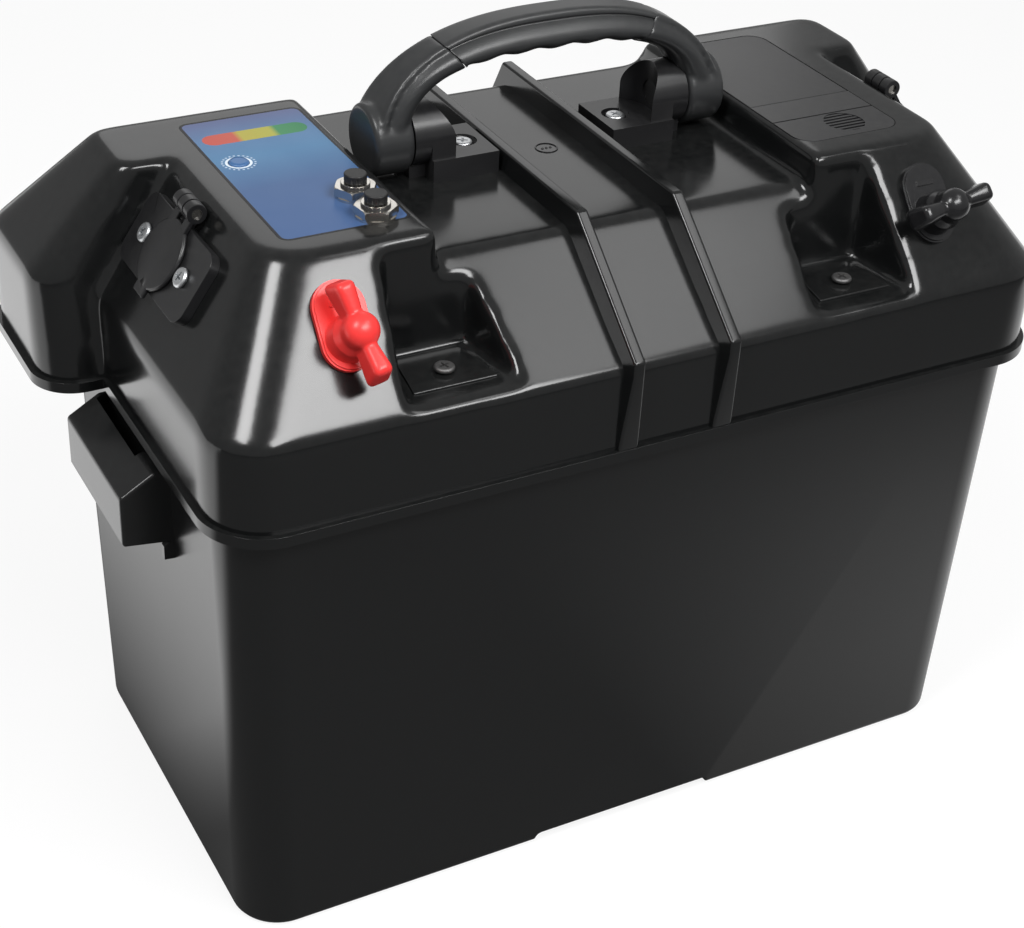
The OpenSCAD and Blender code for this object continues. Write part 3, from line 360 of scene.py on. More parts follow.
def lid_block(name, skin_t):
    """The band, the slopes and the tops. Here and in the next three functions skin_t is 0
    for the lid's outside, and the wall's thickness for its hollow."""
    low = flange_low if skin_t == 0 else 0.190
    piece = block(
        name,
        (-lid_x + skin_t, -lid_y + skin_t, low),
        (lid_x - skin_t, lid_y - skin_t, band_top - 0.35 * skin_t),
    )
    round_corners(piece, lid_corner - skin_t, 20)
    pick(piece, "FACE", lambda m, w: w.z > 0.9)
    way_up = (0, top_back, slope_rise - 0.65 * skin_t)
    bpy.ops.mesh.extrude_region_move(TRANSFORM_OT_translate={"value": way_up})
    bpy.ops.transform.resize(
        value=((top_x - 0.5 * skin_t) / (lid_x - skin_t), (top_y - 0.5 * skin_t) / (lid_y - skin_t), 1),
        center_override=(0, top_back, lid_top),
    )
    clear()
    return piece


def hood_pair(name, skin_t):
    band_deep, top_deep, top_long = 0.0734, 0.0385, 0.050
    low = flange_low if skin_t == 0 else 0.2125
    high = (hood_x - skin_t, lid_y - skin_t, hood_band - 0.35 * skin_t)
    piece = block(name, (hood_root, hood_y + skin_t, low), high)
    round_corners(piece, hood_corner - skin_t, 14, lambda m: m.x > 0.2)
    pick(piece, "FACE", lambda m, w: w.z > 0.9)
    shallower = band_deep / (lid_y - hood_y)
    bpy.ops.transform.resize(value=(1, shallower, 1), center_override=(0, lid_y, hood_band))
    way_up = (0, 0, lid_top - hood_band - 0.65 * skin_t)
    bpy.ops.mesh.extrude_region_move(TRANSFORM_OT_translate={"value": way_up})
    bpy.ops.transform.resize(
        value=(top_long / (hood_x - hood_root), top_deep / band_deep, 1),
        center_override=(hood_root, 0.0344, lid_top),
    )
    clear()
    return finish_with(piece, "MIRROR", use_mirror_merge=False)


def saddle(skin_t):
    """The cut that lowers the lid's middle, with a slope at its front."""
    crest_y, front_y, half = -0.054, -0.130, 0.082 + skin_t
    fall = (saddle_z - band_top) / (lid_y + crest_y)
    crest_z = saddle_z - 1.3 * skin_t
    return profile(
        "saddle_cut",
        [(front_y, crest_z - (crest_y - front_y) * fall), (crest_y, crest_z), (-0.050, saddle_z - skin_t),
         (0.150, saddle_z - skin_t), (0.150, 0.310), (front_y, 0.310)],
        -half, half,
    )


def pocket(side, skin_t):
    middle, wide, narrow = side * pocket_x, 0.024 + skin_t, 0.018 + skin_t
    piece = block(
        "pocket_cut",
        (middle - wide, -0.110, pocket_floor - skin_t),
        (middle + wide, -0.062 + skin_t, 0.300),
    )
    pick(piece, "FACE", lambda m, w: w.y > 0.9)
    bpy.ops.transform.resize(value=(narrow / wide, 1, 1), center_override=(middle, 0, 0))
    clear()
    return piece


def skirt(name, grow, low, high):
    """The lid's outline seen from above, a little larger all round."""
    piece = block(name, (-lid_x - grow, -lid_y - grow, low), (lid_x + grow, lid_y + grow, high))
    round_corners(piece, lid_corner + grow, 20)
    for side in (-1, 1):
        a, b = sorted((side * hood_root, side * (hood_x + grow)))
        ear = block("ear", (a, hood_y - grow, low), (b, lid_y + grow, high))
        round_corners(ear, hood_corner + grow, 14, lambda m: abs(m.x) > 0.2)
        combine(piece, ear, "UNION")
    return piece


def lying_bar(name, radius, length, middle, steps=48, turn=(0, math.pi / 2, 0)):
    """A round bar along X, or along Y with the other turn."""
    clear()
    bpy.ops.mesh.primitive_cylinder_add(
        vertices=steps, radius=radius, depth=length, location=middle, rotation=turn,
    )
    return named(name)


lid = lid_block("lid_moulding", 0)
combine(lid, hood_pair("hoods", 0), "UNION")
combine(lid, saddle(0))
for side in (-1, 1):
    combine(lid, pocket(side, 0))
finish_with(lid, "REMESH", mode="VOXEL", voxel_size=0.0016)
finish_with(lid, "SMOOTH", factor=0.5, iterations=24)
back_run = lid_y - top_y - top_back
back = lid_y - (saddle_z - band_top) * back_run / slope_rise
for side in (-1, 1):
    rib = profile(
        "rib",
        [(0.1035, 0.2000), (0.1038, 0.2020), (0.1069, 0.2340), (0.1069, 0.2380), (back + 0.0044, rib_top),
         (-0.0576, rib_top), (-0.1069, 0.2400), (-0.1069, 0.2340), (-0.1038, 0.2020), (-0.1035, 0.2000),
         (-0.0980, 0.2000), (-0.0980, 0.2330), (-0.0540, 0.2650), (back - 0.004, 0.2650),
         (0.0980, 0.2310), (0.0980, 0.2000)],
        side * rib_x - 0.0045, side * rib_x + 0.0045,
    )
    # narrower along its outer edge
    for vertex in rib.data.vertices:
        if vertex.co.z > rib_top - 0.0005 or abs(vertex.co.y) > 0.1055:
            vertex.co.x = side * rib_x + (vertex.co.x - side * rib_x) * 5.0 / 9
    combine(lid, soften(rib, 0.0011, 3, 25), "UNION")
    pad = block("pad", (side * pocket_x - 0.017, -0.090, 0.2360), (side * pocket_x + 0.017, -0.063, 0.2384))
    pick(pad, "FACE", lambda m, w: w.y > 0.9)
    bpy.ops.transform.resize(value=(13 / 17, 1, 1), center_override=(side * pocket_x, 0, 0))
    clear()
    combine(lid, soften(pad, 0.0006, 3), "UNION")
    bead = lying_bar("pad_bead", 0.0018, 0.038, (side * pocket_x, -0.063, 0.2381), 24)
    combine(lid, soften(bead, 0.0008, 3), "UNION")
clear()
bpy.ops.mesh.primitive_torus_add(
    location=(0.0023, 0.012, saddle_z),
    major_radius=0.0044, minor_radius=0.0004, major_segments=48, minor_segments=10,
)
combine(lid, named("mould_mark"), "UNION")
for number in range(3):
    clear()
    spot = (0.0023 + 0.0018 * (number - 1), 0.012, 0.2719)
    bpy.ops.mesh.primitive_uv_sphere_add(segments=16, ring_count=8, radius=0.0006, location=spot)
    combine(lid, named("mould_dot"), "UNION")
combine(lid, soften(skirt("bead", 0.002, flange_low, 0.2010), 0.0015, 4), "UNION")
hollow = lid_block("hollow", wall)
combine(hollow, hood_pair("hood_hollow", wall), "UNION")
combine(hollow, saddle(wall))
for side in (-1, 1):
    combine(hollow, pocket(side, wall))
combine(lid, hollow)
for name, low, high, radius, steps in (
    ("seat", (-0.1817, -0.1017, 0.190), (0.1817, 0.1017, flange_top), 0.0234, 20),
    ("label_seat", (-0.1371, -0.0481, 0.284), (-0.0859, 0.0601, 0.290), 0.0041, 8),
    ("panel_seat", (0.0847, -0.0483, 0.283), (0.1343, 0.0593, 0.290), 0.0083, 10),
):
    combine(lid, round_corners(block(name, low, high), radius, steps))
combine(lid, block("tray_hole", (0.0885, -0.0445, 0.250), (0.1305, -0.0095, 0.290)))


def end_place(side):
    """The middle of an end slope's socket: Z out of the slope, X down it."""
    up_slope, socket_y = 0.034, -0.0055
    tilt = math.atan2(slope_rise, lid_x - top_x)
    half_turn = Matrix.Rotation(0 if side > 0 else math.pi, 4, "Z")
    out = lid_x - up_slope * math.cos(tilt)
    middle = Vector((side * out, socket_y, band_top + up_slope * math.sin(tilt)))
    return Matrix.Translation(middle) @ Matrix.Rotation(side * tilt, 4, "Y") @ half_turn


def front_place(side):
    """The middle of a terminal on the front slope: Z out of the slope, Y up it."""
    up_slope = 0.033
    tilt = math.atan2(slope_rise, lid_y - top_y + top_back)
    back_from = -lid_y + up_slope * math.cos(tilt)
    middle = Vector((side * terminal_x, back_from, band_top + up_slope * math.sin(tilt)))
    return Matrix.Translation(middle) @ Matrix.Rotation(tilt, 4, "X")


def round_bar(name, radius, low, high, steps=48, centre=(0, 0)):
    clear()
    middle = (*centre, (low + high) / 2)
    bpy.ops.mesh.primitive_cylinder_add(vertices=steps, radius=radius, depth=high - low, location=middle)
    return named(name)


# holes for the test button, the breakers, the sockets and the terminals' studs, each with
# its place, radius, low end, high end and middle
holes = [(Matrix.Identity(4), 0.0043, 0.270, 0.300, (test_x, test_y))]
for y in breaker_y:
    holes.append((Matrix.Identity(4), 0.0058, 0.270, 0.300, (breaker_x, y)))
for side in (-1, 1):
    holes.append((end_place(side), 0.0126, -0.015, 0.010, (0, 0)))
    holes.append((front_place(side), 0.0042, -0.015, 0.010, (0, 0)))
for place, radius, low, high, centre in holes:
    drill = round_bar("drill", radius, low, high, 48, centre)
    drill.data.transform(place)
    combine(lid, drill)
smooth(lid)
polished = (0.0062, 0.0066, 0.0068)
lid_black = moulding("polished polypropylene", polished, 0.16, 0.10, 0.06, 700.0, 0.00005, 0.25)
dress(lid, lid_black)
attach(lid, "lid")
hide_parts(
    "lid_middle", "lid_left_top", "lid_right_top", "lid_left_end", "lid_right_end",
    "lid_left_hood", "lid_right_hood", "lid_left_pocket", "lid_right_pocket",
)


# ---- Charge meter ----
# A printed film label lies in a shallow seat in the left top, with the gauge's lamps printed on it as
# coloured bands and a soft test button inside a printed ring.
def coordinate(tree, offset):
    moved = tree.nodes.new("ShaderNodeVectorMath")
    moved.operation = "SUBTRACT"
    tree.links.new(own_place(tree), moved.inputs[0])
    moved.inputs[1].default_value = offset
    parts = tree.nodes.new("ShaderNodeSeparateXYZ")
    tree.links.new(moved.outputs[0], parts.inputs[0])
    return parts.outputs["X"], parts.outputs["Y"]


def distance_of(tree, x, y):
    """How far (x, y) lies from the middle."""
    squares = math_node(tree, "MULTIPLY", x, x), math_node(tree, "MULTIPLY", y, y)
    return math_node(tree, "SQRT", math_node(tree, "ADD", *squares))


def box_distance(tree, offset, half, radius):
    """How far a point lies outside a rounded rectangle seen from above, in metres."""
    x, y = coordinate(tree, offset)
    dx = math_node(tree, "SUBTRACT", math_node(tree, "ABSOLUTE", x), half[0] - radius)
    dy = math_node(tree, "SUBTRACT", math_node(tree, "ABSOLUTE", y), half[1] - radius)
    corner = distance_of(tree, math_node(tree, "MAXIMUM", dx, 0.0), math_node(tree, "MAXIMUM", dy, 0.0))
    inside = math_node(tree, "MINIMUM", math_node(tree, "MAXIMUM", dx, dy), 0.0)
    return math_node(tree, "SUBTRACT", math_node(tree, "ADD", corner, inside), radius)


def edge_mask(tree, distance, at):
    """1 where the distance is under `at`, with a soft printed edge."""
    soft = 0.00012
    depth = math_node(tree, "DIVIDE", math_node(tree, "SUBTRACT", at, distance), soft)
    return math_node(tree, "ADD", depth, 0.5, True)


def ring_mask(tree, distance, inner, outer):
    hole = math_node(tree, "SUBTRACT", 1.0, edge_mask(tree, distance, inner))
    return math_node(tree, "MULTIPLY", edge_mask(tree, distance, outer), hole)


def ramp(tree, value, stops):
    node = tree.nodes.new("ShaderNodeValToRGB")
    tree.links.new(value, node.inputs[0])
    while len(node.color_ramp.elements) < len(stops):
        node.color_ramp.elements.new(0.5)
    for element, (where, colour) in zip(node.color_ramp.elements, stops):
        element.position, element.color = where, (*colour, 1)
    return node.outputs["Color"]


film, tree, shell = new_material("printed film")
label_middle, label_half = (-0.1115, 0.006, 0), (0.0255, 0.054)
gauge_middle, gauge_half = (-0.1115, 0.0415, 0), (0.0215, 0.0047)
along_label = coordinate(tree, label_middle)[1]
along = math_node(tree, "ADD", math_node(tree, "DIVIDE", along_label, 2 * label_half[1]), 0.5)
ground = ramp(tree, along, (
    (0.0, (0.048, 0.105, 0.250)), (0.40, (0.052, 0.112, 0.250)), (0.66, (0.075, 0.205, 0.370)),
    (0.80, (0.085, 0.190, 0.350)), (1.0, (0.105, 0.120, 0.240)),
))
cloud = noise(tree, own_place(tree), 45, 3)
ground = mix_colour(tree, math_node(tree, "MULTIPLY", cloud, 0.25), ground, (0.040, 0.085, 0.200, 1))
across_gauge = coordinate(tree, gauge_middle)[0]
bands = ramp(tree, math_node(tree, "ADD", math_node(tree, "DIVIDE", across_gauge, 0.042), 0.5), (
    (0.0, (0.480, 0.075, 0.055)), (0.30, (0.480, 0.085, 0.055)), (0.36, (0.400, 0.350, 0.050)),
    (0.66, (0.380, 0.370, 0.055)), (0.72, (0.040, 0.220, 0.085)), (1.0, (0.030, 0.190, 0.075)),
))
bar = edge_mask(tree, box_distance(tree, gauge_middle, gauge_half, gauge_half[1]), 0.0)
printed = mix_colour(tree, bar, ground, bands)
bx, by = coordinate(tree, (test_x, test_y, 0))
reach = distance_of(tree, bx, by)
printed = mix_colour(tree, ring_mask(tree, reach, 0.0041, 0.0052), printed, (0.70, 0.78, 0.86, 1))
around_ring = math_node(tree, "ARCTAN2", by, bx)
waves = math_node(tree, "SINE", math_node(tree, "MULTIPLY", around_ring, 22.0))
dash = math_node(tree, "GREATER_THAN", waves, 0.1)
ticks = math_node(tree, "MULTIPLY", ring_mask(tree, reach, 0.0059, 0.0067), dash)
printed = mix_colour(tree, math_node(tree, "MULTIPLY", ticks, 0.75), printed, (0.60, 0.70, 0.82, 1))
edge = box_distance(tree, label_middle, label_half, 0.004)
rim = math_node(tree, "SUBTRACT", 1.0, edge_mask(tree, edge, -0.0011))
printed = mix_colour(tree, rim, printed, (0.006, 0.006, 0.007, 1))
tree.links.new(printed, shell.inputs["Base Color"])
uneven = math_node(tree, "ADD", math_node(tree, "MULTIPLY", cloud, 0.12), 0.30)
tree.links.new(uneven, shell.inputs["Roughness"])
shell.inputs["Specular IOR Level"].default_value = 0.3
for node in ("meter_label", "meter_leds"):
    dress(frame["nodes"][node], film)

clear()
middle = (test_x, test_y, 0.28095)
bpy.ops.mesh.primitive_cylinder_add(vertices=48, radius=0.004, depth=0.0095, location=middle)
button = named("test_dome")
soften(button, 0.0006, 3)
pick(button, "FACE", lambda m, w: w.z > 0.9 and m.z > lid_top)
bpy.ops.mesh.inset(thickness=0.0008)
bpy.ops.transform.translate(value=(0, 0, 0.0002))
clear()
smooth(button)
dress(button, moulding("blue button", (0.060, 0.150, 0.330), 0.35, 0.05, 0.0, 1500.0, 0.00002, 0.2))
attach(button, "test")
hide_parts("test_button")

# The meter's board hangs under the label: green solder mask over glass cloth.
board, tree, shell = new_material("solder mask")
cloth = noise(tree, own_place(tree), 500, 2)
green = mix_colour(tree, cloth, (0.015, 0.12, 0.04, 1), (0.03, 0.18, 0.07, 1))
tree.links.new(green, shell.inputs["Base Color"])
shell.inputs["Roughness"].default_value = 0.35
dress(frame["nodes"]["meter_board"], board)


# ---- Breakers ----
# Two push-to-reset breakers are held in the label by nickel-plated collars, washers and
# hex nuts, with a soft black button standing in each collar.
plate, given, made = new_group("plating", {"Colour": (0.7, 0.7, 0.7, 1), "Roughness": 0.2, "Marks": 0.1})
place = own_place(plate)
patch = noise(plate, place, 180, 4, 0.6)
fine = noise(plate, place, 1600, 2)
dull = math_node(plate, "MULTIPLY", patch, given.outputs["Marks"])
spots = math_node(plate, "MULTIPLY", dull, 1.6, True)
marked = mix_colour(plate, spots, given.outputs["Colour"], (0.25, 0.24, 0.22, 1))
plate.links.new(marked, made.inputs["Colour"])
plate.links.new(math_node(plate, "ADD", given.outputs["Roughness"], dull, True), made.inputs["Roughness"])
plate.links.new(fine, made.inputs["Height"])


def plated(name, colour, roughness, marks=0.12):
    settings = {"Roughness": roughness, "Marks": marks}
    material, shell = grouped(name, plate, colour, settings, 0.00002, 0.12)
    shell.inputs["Metallic"].default_value = 1.0
    return material


nickel = plated("nickel plate", (0.74, 0.71, 0.66), 0.14)
zinc = plated("zinc plate", (0.72, 0.74, 0.76), 0.26, 0.2)
brass = plated("brass", (0.72, 0.50, 0.20), 0.25)
bakelite = moulding("breaker bakelite", (0.018, 0.018, 0.020), 0.42, 0.08, 0.2)
soft_black = moulding("soft black rubber", (0.010, 0.010, 0.0105), 0.42, 0.06, 0.12, 2200.0, 0.00004, 0.3)


def copy_to(piece, name, matrix):
    twin = piece.copy()
    twin.data = piece.data.copy()
    twin.name = name
    bpy.context.scene.collection.objects.link(twin)
    twin.data.transform(matrix)
    return twin


def gather(name, pieces):
    clear()
    for piece in pieces:
        piece.select_set(True)
    bpy.context.view_layer.objects.active = pieces[0]
    bpy.ops.object.join()
    bpy.context.object.name = name
    return bpy.context.object


# one nut, with its corners turned off as a real nut's are
nut_flats, nut_high, washer_high, flutes = 0.0145, 0.0035, 0.001, 14
nut = round_bar("nut", nut_flats / 2 / math.cos(math.radians(30)), 0, nut_high, 6)
turned = soften(round_bar("turned", 0.00835, 0, nut_high, 64), 0.0009, 2)
combine(nut, turned, "INTERSECT")
combine(nut, round_bar("bore", 0.00552, -0.001, 0.005, 48))
soften(nut, 0.00022, 2, 25)
smooth(nut, 25)
# one threaded collar, a stack of fine rings open in the middle
collar = round_bar("collar", 0.0053, -0.020, 0.0049, 48)
for turn_no in range(5):
    ring_z = 0.0008 + turn_no * 0.0009
    thread = round_bar("thread", 0.0055, ring_z - 0.00032, ring_z + 0.00032)
    combine(collar, soften(thread, 0.00018, 2), "UNION")
combine(collar, round_bar("bore", 0.0040, -0.019, 0.008))
smooth(collar, 30)
# one button, with flutes round the side of its cap
cap = soften(round_bar("cap", 0.0043, 0, 0.0034, 64), 0.0005, 3)
for step in range(flutes):
    angle = 2 * math.pi * step / flutes
    centre = (0.0044 * math.cos(angle), 0.0044 * math.sin(angle))
    combine(cap, round_bar("flute", 0.00045, -0.001, 0.0024, 12, centre))
combine(cap, round_bar("stem", 0.0038, -0.012, 0.001), "UNION")
smooth(cap, 30)
nuts = []
for number, (label, y) in enumerate(zip(("front", "rear"), breaker_y)):
    at = Matrix.Translation((breaker_x, y, lid_top))
    on_washer = at @ Matrix.Translation((0, 0, washer_high))
    nut_turn = Matrix.Rotation(math.radians(8 + 20 * number), 4, "Z")
    nuts.append(copy_to(nut, "nut_" + label, on_washer @ nut_turn))
    knob = copy_to(cap, label + "_button", at @ Matrix.Translation((0, 0, 0.0058)))
    dress(knob, soft_black)
    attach(knob, label + "_breaker")
    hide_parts(f"breaker_{label}_button")
    sleeve = copy_to(collar, label + "_collar", at @ Matrix.Translation((0, 0, 0.0008)))
    dress(sleeve, nickel)
    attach(sleeve, "lid")
    dress(frame["nodes"][f"breaker_{label}_body"], bakelite)
nuts = gather("breaker_nut_pair", nuts)
dress(nuts, nickel)
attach(nuts, "lid")
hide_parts("breaker_nuts")
for spare in (nut, collar, cap):
    bpy.data.objects.remove(spare)
for node in ("breaker_washers", "terminal_nuts", "terminal_washers", "positive_stud", "negative_stud",
             "left_socket_barrel", "right_socket_barrel", "left_cap_pin", "right_cap_pin"):
    dress(frame["nodes"][node], nickel)
dress(frame["nodes"]["handle_pins"], soft_black)
for node in ("left_socket_contact", "right_socket_contact"):
    dress(frame["nodes"][node], brass)


# ---- 12 V sockets ----
# Each end slope carries a socket in a moulded flange, held by two pan-head screws,
# under a sprung round cap that hinges at the slope's top.
fitting_black = moulding("moulded nylon", (0.011, 0.011, 0.012), 0.30, 0.08, 0.10, 1600.0, 0.00004, 0.3)


def from_cad(node, name, width):
    """A copy of a solid, its loose triangles joined and its edges broken a little."""
    source = frame["nodes"][node]
    piece = source.copy()
    piece.data = source.data.copy()
    piece.name = name
    piece.parent = None
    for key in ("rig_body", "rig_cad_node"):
        if key in piece:
            del piece[key]
    bpy.context.scene.collection.objects.link(piece)
    choose(piece)
    bpy.ops.object.mode_set(mode="EDIT")
    bpy.ops.mesh.select_all(action="SELECT")
    bpy.ops.mesh.remove_doubles(threshold=0.000005)
    bpy.ops.mesh.dissolve_limited(angle_limit=math.radians(0.6))
    clear()
    soften(piece, width, 2, 38)
    smooth(piece, 30)
    return piece


def cross_screw(name, radius, height):
    """A pan head with a tapered cross in it, and the start of its shank."""
    head = round_bar(name, radius, 0, height, 48)
    soften(head, height * 0.62, 5)
    for size in ((radius * 0.62, radius * 0.13), (radius * 0.13, radius * 0.62)):
        slot = block("slot", (-size[0], -size[1], height * 0.35), (size[0], size[1], height + 0.001))
        pick(slot, "FACE", lambda m, w: w.z < -0.9)
        bpy.ops.transform.resize(value=(0.7, 0.7, 1), center_override=(0, 0, 0))
        clear()
        combine(head, slot)
    combine(head, round_bar("shank", 0.0016, -0.006, 0.0003, 24), "UNION")
    return smooth(head, 30)


lid_cap = soften(round_bar("lid_cap", 0.0144, 0.00405, 0.0062, 72), 0.0010, 4)
# shallow steps rise towards the middle of the cap
for inward in (0.003, 0.004, 0.004):
    pick(lid_cap, "FACE", lambda m, w: w.z > 0.9 and m.z > 0.006 and m.xy.length < 0.001)
    bpy.ops.mesh.inset(thickness=inward)
    bpy.ops.transform.translate(value=(0, 0, 0.00018))
clear()
hinge_x, hinge_z, ear_wide, along_y = -0.0207, 0.0052, 0.0046, (math.pi / 2, 0, 0)
for turn_side in (-1, 1):
    y0 = turn_side * 0.00515
    ear = block("ear", (hinge_x, y0 - ear_wide / 2, 0.0043), (-0.006, y0 + ear_wide / 2, 0.0061))
    combine(lid_cap, soften(ear, 0.0004, 2), "UNION")
    knuckle = lying_bar("knuckle", 0.004, ear_wide, (hinge_x, y0, hinge_z), 40, along_y)
    combine(lid_cap, soften(knuckle, 0.0005, 2), "UNION")
combine(lid_cap, lying_bar("pin_bore", 0.00206, 0.03, (hinge_x, 0, hinge_z), 32, along_y))
tab = soften(block("tab", (0.0125, -0.0045, 0.0043), (0.0172, 0.0045, 0.0062)), 0.0007, 3)
combine(lid_cap, tab, "UNION")
smooth(lid_cap, 30)
screw = cross_screw("pan_screw", 0.0040, 0.0020)
socket_screws = []
for side, label in ((-1, "left"), (1, "right")):
    cover = copy_to(lid_cap, label + "_cap", end_place(side))
    dress(cover, fitting_black)
    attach(cover, label + "_cap")
    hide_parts(label + "_socket_cap")
    flange = from_cad(label + "_socket_flange", label + "_flange", 0.0006)
    dress(flange, fitting_black)
    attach(flange, "lid")
    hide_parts(label + "_socket_flange")
    dress(frame["nodes"][label + "_ring_nut"], fitting_black)
    for step in (-1, 1):
        seat = end_place(side) @ Matrix.Translation((0, step * 0.0195, 0.004))
        socket_screws.append(copy_to(screw, "screw", seat @ Matrix.Rotation(0.4 + step, 4, "Z")))
socket_screws = gather("socket_screw_set", socket_screws)
dress(socket_screws, zinc)
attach(socket_screws, "lid")
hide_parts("socket_screws")
bpy.data.objects.remove(lid_cap)


# ---- Terminals ----
# Two studs stand on the front slope, red for positive and black for negative, each in
# a moulded base with its mark, under a big moulded wing nut with a domed top.
red = moulding("red plastic", (0.95, 0.045, 0.042), 0.33, 0.06, 0.02, 900.0, 0.00004, 0.2)
black_gloss = moulding("glossy black plastic", (0.010, 0.010, 0.011), 0.22, 0.05, 0.08, 900.0, 0.00004, 0.2)
low, hub, arm_x = 0.0093, 0.0066, 0.0196
arm_z = low + 0.0128
wing = round_bar("wing_nut", hub, low, low + 0.0082, 64)
clear()
bpy.ops.mesh.primitive_uv_sphere_add(
    segments=48, ring_count=24, radius=hub, location=(0, 0, low + 0.0076), scale=(1, 1, 0.9),
)
combine(wing, named("dome"), "UNION")
clear()
bpy.ops.mesh.primitive_cone_add(
    vertices=64, radius1=0.0084, radius2=hub, depth=0.004, location=(0, 0, low + 0.002),
)
combine(wing, named("foot"), "UNION")
for turn_side in (-1, 1):
    left, right = sorted((0, turn_side * arm_x))
    arm = block("arm", (left, -0.0050, low + 0.0010), (right, 0.0050, arm_z))
    pick(arm, "FACE", lambda m, w: w.z > 0.9)
    bpy.ops.transform.resize(value=(0.86, 0.72, 1), center_override=(0, 0, arm_z))
    pick(arm, "FACE", lambda m, w: abs(m.x) < 0.001)
    bpy.ops.transform.resize(value=(1, 0.60, 0.72), center_override=(0, 0, low + 0.0010))
    clear()
    combine(wing, soften(arm, 0.0024, 4), "UNION")
finish_with(wing, "REMESH", mode="VOXEL", voxel_size=0.00045)
finish_with(wing, "SMOOTH", factor=0.5, iterations=10)
combine(wing, round_bar("bore", 0.00406, low - 0.002, low + 0.0110, 48))
smooth(wing, 40)
for side, label, turned_by, finish in ((-1, "positive", 100, red), (1, "negative", 8, black_gloss)):
    place = front_place(side) @ Matrix.Rotation(math.radians(turned_by), 4, "Z")
    nut_top = copy_to(wing, label + "_wings", place)
    dress(nut_top, finish)
    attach(nut_top, label + "_nut")
    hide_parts(label + "_wing_nut")
    base = from_cad(label + "_base", label + "_foot", 0.0004)
    dress(base, finish)
    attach(base, "lid")
    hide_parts(label + "_base")
bpy.data.objects.remove(wing)


# ---- Handle ----
# The folding handle is a moulded nylon bow with a soft grip over its middle: a flat
# outer band that widens down the arms, a groove, and a fatter body with finger waves.
pivot_y, pivot_z, bow_x = 0.014, 0.288, 0.0785
arms_from, grip_to = 0.0473, 0.0478


def bow(f, q):
    """A point across the bow, f from its outside (0) to its inside (1), q along it."""
    half = 0.0780 - 0.0160 * f
    top = 0.0514 - 0.0158 * f
    s = math.sin(q)
    square = 2.4 + 0.9 * f
    lift = top * max(0.0, 1 - abs(s) ** square) ** (1 / square) - 0.008
    return half * s, max(lift, 0.0)


def bow_ring():
    """The bow's section from the outside in, as (fraction across, half depth at the top of
    the bow, half depth at its feet, side) in millimetres, and back on the other side."""
    across = (
        (0.000, 3.2, 11.4), (0.010, 4.6, 12.8), (0.035, 5.5, 13.7), (0.075, 5.9, 14.1), (0.130, 6.1, 14.3),
        (0.170, 6.0, 14.1), (0.195, 5.5, 13.3), (0.220, 5.3, 12.7), (0.250, 5.8, 12.7), (0.290, 6.9, 13.0),
        (0.360, 8.2, 13.3), (0.460, 9.5, 13.5), (0.580, 10.3, 13.4), (0.680, 10.4, 13.0), (0.770, 9.8, 12.2),
        (0.860, 8.4, 10.8), (0.930, 6.3, 8.6), (0.980, 3.8, 5.8), (1.000, 2.2, 3.8),
    )
    return [(*row, 1) for row in across] + [(*row, -1) for row in reversed(across)] + [(*across[0], 1)]


def bent_tube(name, along, shape):
    """A tube grown from a grid: one row of points for each step along it."""
    clear()
    section = bow_ring()
    bpy.ops.mesh.primitive_grid_add(x_subdivisions=len(along) - 1, y_subdivisions=len(section) - 1, size=1)
    piece = named(name)
    rows = sorted({round(v.co.x, 5) for v in piece.data.vertices})
    columns = sorted({round(v.co.y, 5) for v in piece.data.vertices})
    for vertex in piece.data.vertices:
        i, j = rows.index(round(vertex.co.x, 5)), columns.index(round(vertex.co.y, 5))
        vertex.co = shape(along[i], section[j])
    choose(piece)
    bpy.ops.object.mode_set(mode="EDIT")
    bpy.ops.mesh.select_all(action="SELECT")
    bpy.ops.mesh.remove_doubles(threshold=0.00001)
    bpy.ops.mesh.select_mode(type="EDGE")
    bpy.ops.mesh.select_all(action="DESELECT")
    bpy.ops.mesh.select_non_manifold()
    bpy.ops.mesh.fill_holes(sides=0)
    bpy.ops.mesh.select_all(action="SELECT")
    bpy.ops.mesh.normals_make_consistent(inside=False)
    clear()
    return piece


def arm_point(q, at):
    """The bow's surface, narrower across at its top than at its feet."""
    f, at_top, at_foot, side = at
    x, z = bow(f, q)
    share = min(1.0, max(0.0, 1 - z / 0.044)) ** 1.25
    return x, pivot_y + side * 0.001 * (at_top + (at_foot - at_top) * share), pivot_z + z


def grip_point(q, at):
    """A little outside the bow's surface, with finger waves on the inside."""
    f, at_top, at_foot, side = at
    x, y, z = arm_point(q, (f, at_top * 1.02 + 0.05, at_foot * 1.02 + 0.05, side))
    wave = 0.0013 * (0.5 - 0.5 * math.cos(2 * math.pi * x / 0.0155)) if abs(x) < 0.0388 else 0.0
    return x, y, z + wave * max(0.0, (f - 0.55) / 0.45)


arms = []
whole = [math.radians(-90 + 180 * i / 120) for i in range(121)]
for side in (-1, 1):
    steps = [q for q in whole if side * math.sin(q) * bow_x > arms_from]
    arm = bent_tube("arm", steps, arm_point)
    knuckle = lying_bar("knuckle", 0.0145, 0.0165, (side * 0.07025, pivot_y, pivot_z), 72)
    combine(arm, soften(knuckle, 0.0022, 5), "UNION")
    finish_with(arm, "REMESH", mode="VOXEL", voxel_size=0.0008)
    finish_with(arm, "SMOOTH", factor=0.5, iterations=5)
    combine(arm, lying_bar("relief", 0.0135, 0.021, (side * 0.0515, pivot_y, pivot_z)))
    combine(arm, lying_bar("pin_bore", 0.00506, 0.0155, (side * 0.06825, pivot_y, pivot_z)))
    arms.append(smooth(arm, 40))
arms = gather("handle_arms", arms)
handle_black = moulding("handle nylon", (0.026, 0.027, 0.028), 0.30, 0.08, 0.12, 1500.0, 0.00005, 0.3)
dress(arms, handle_black)
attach(arms, "handle")
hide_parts("handle_frame")
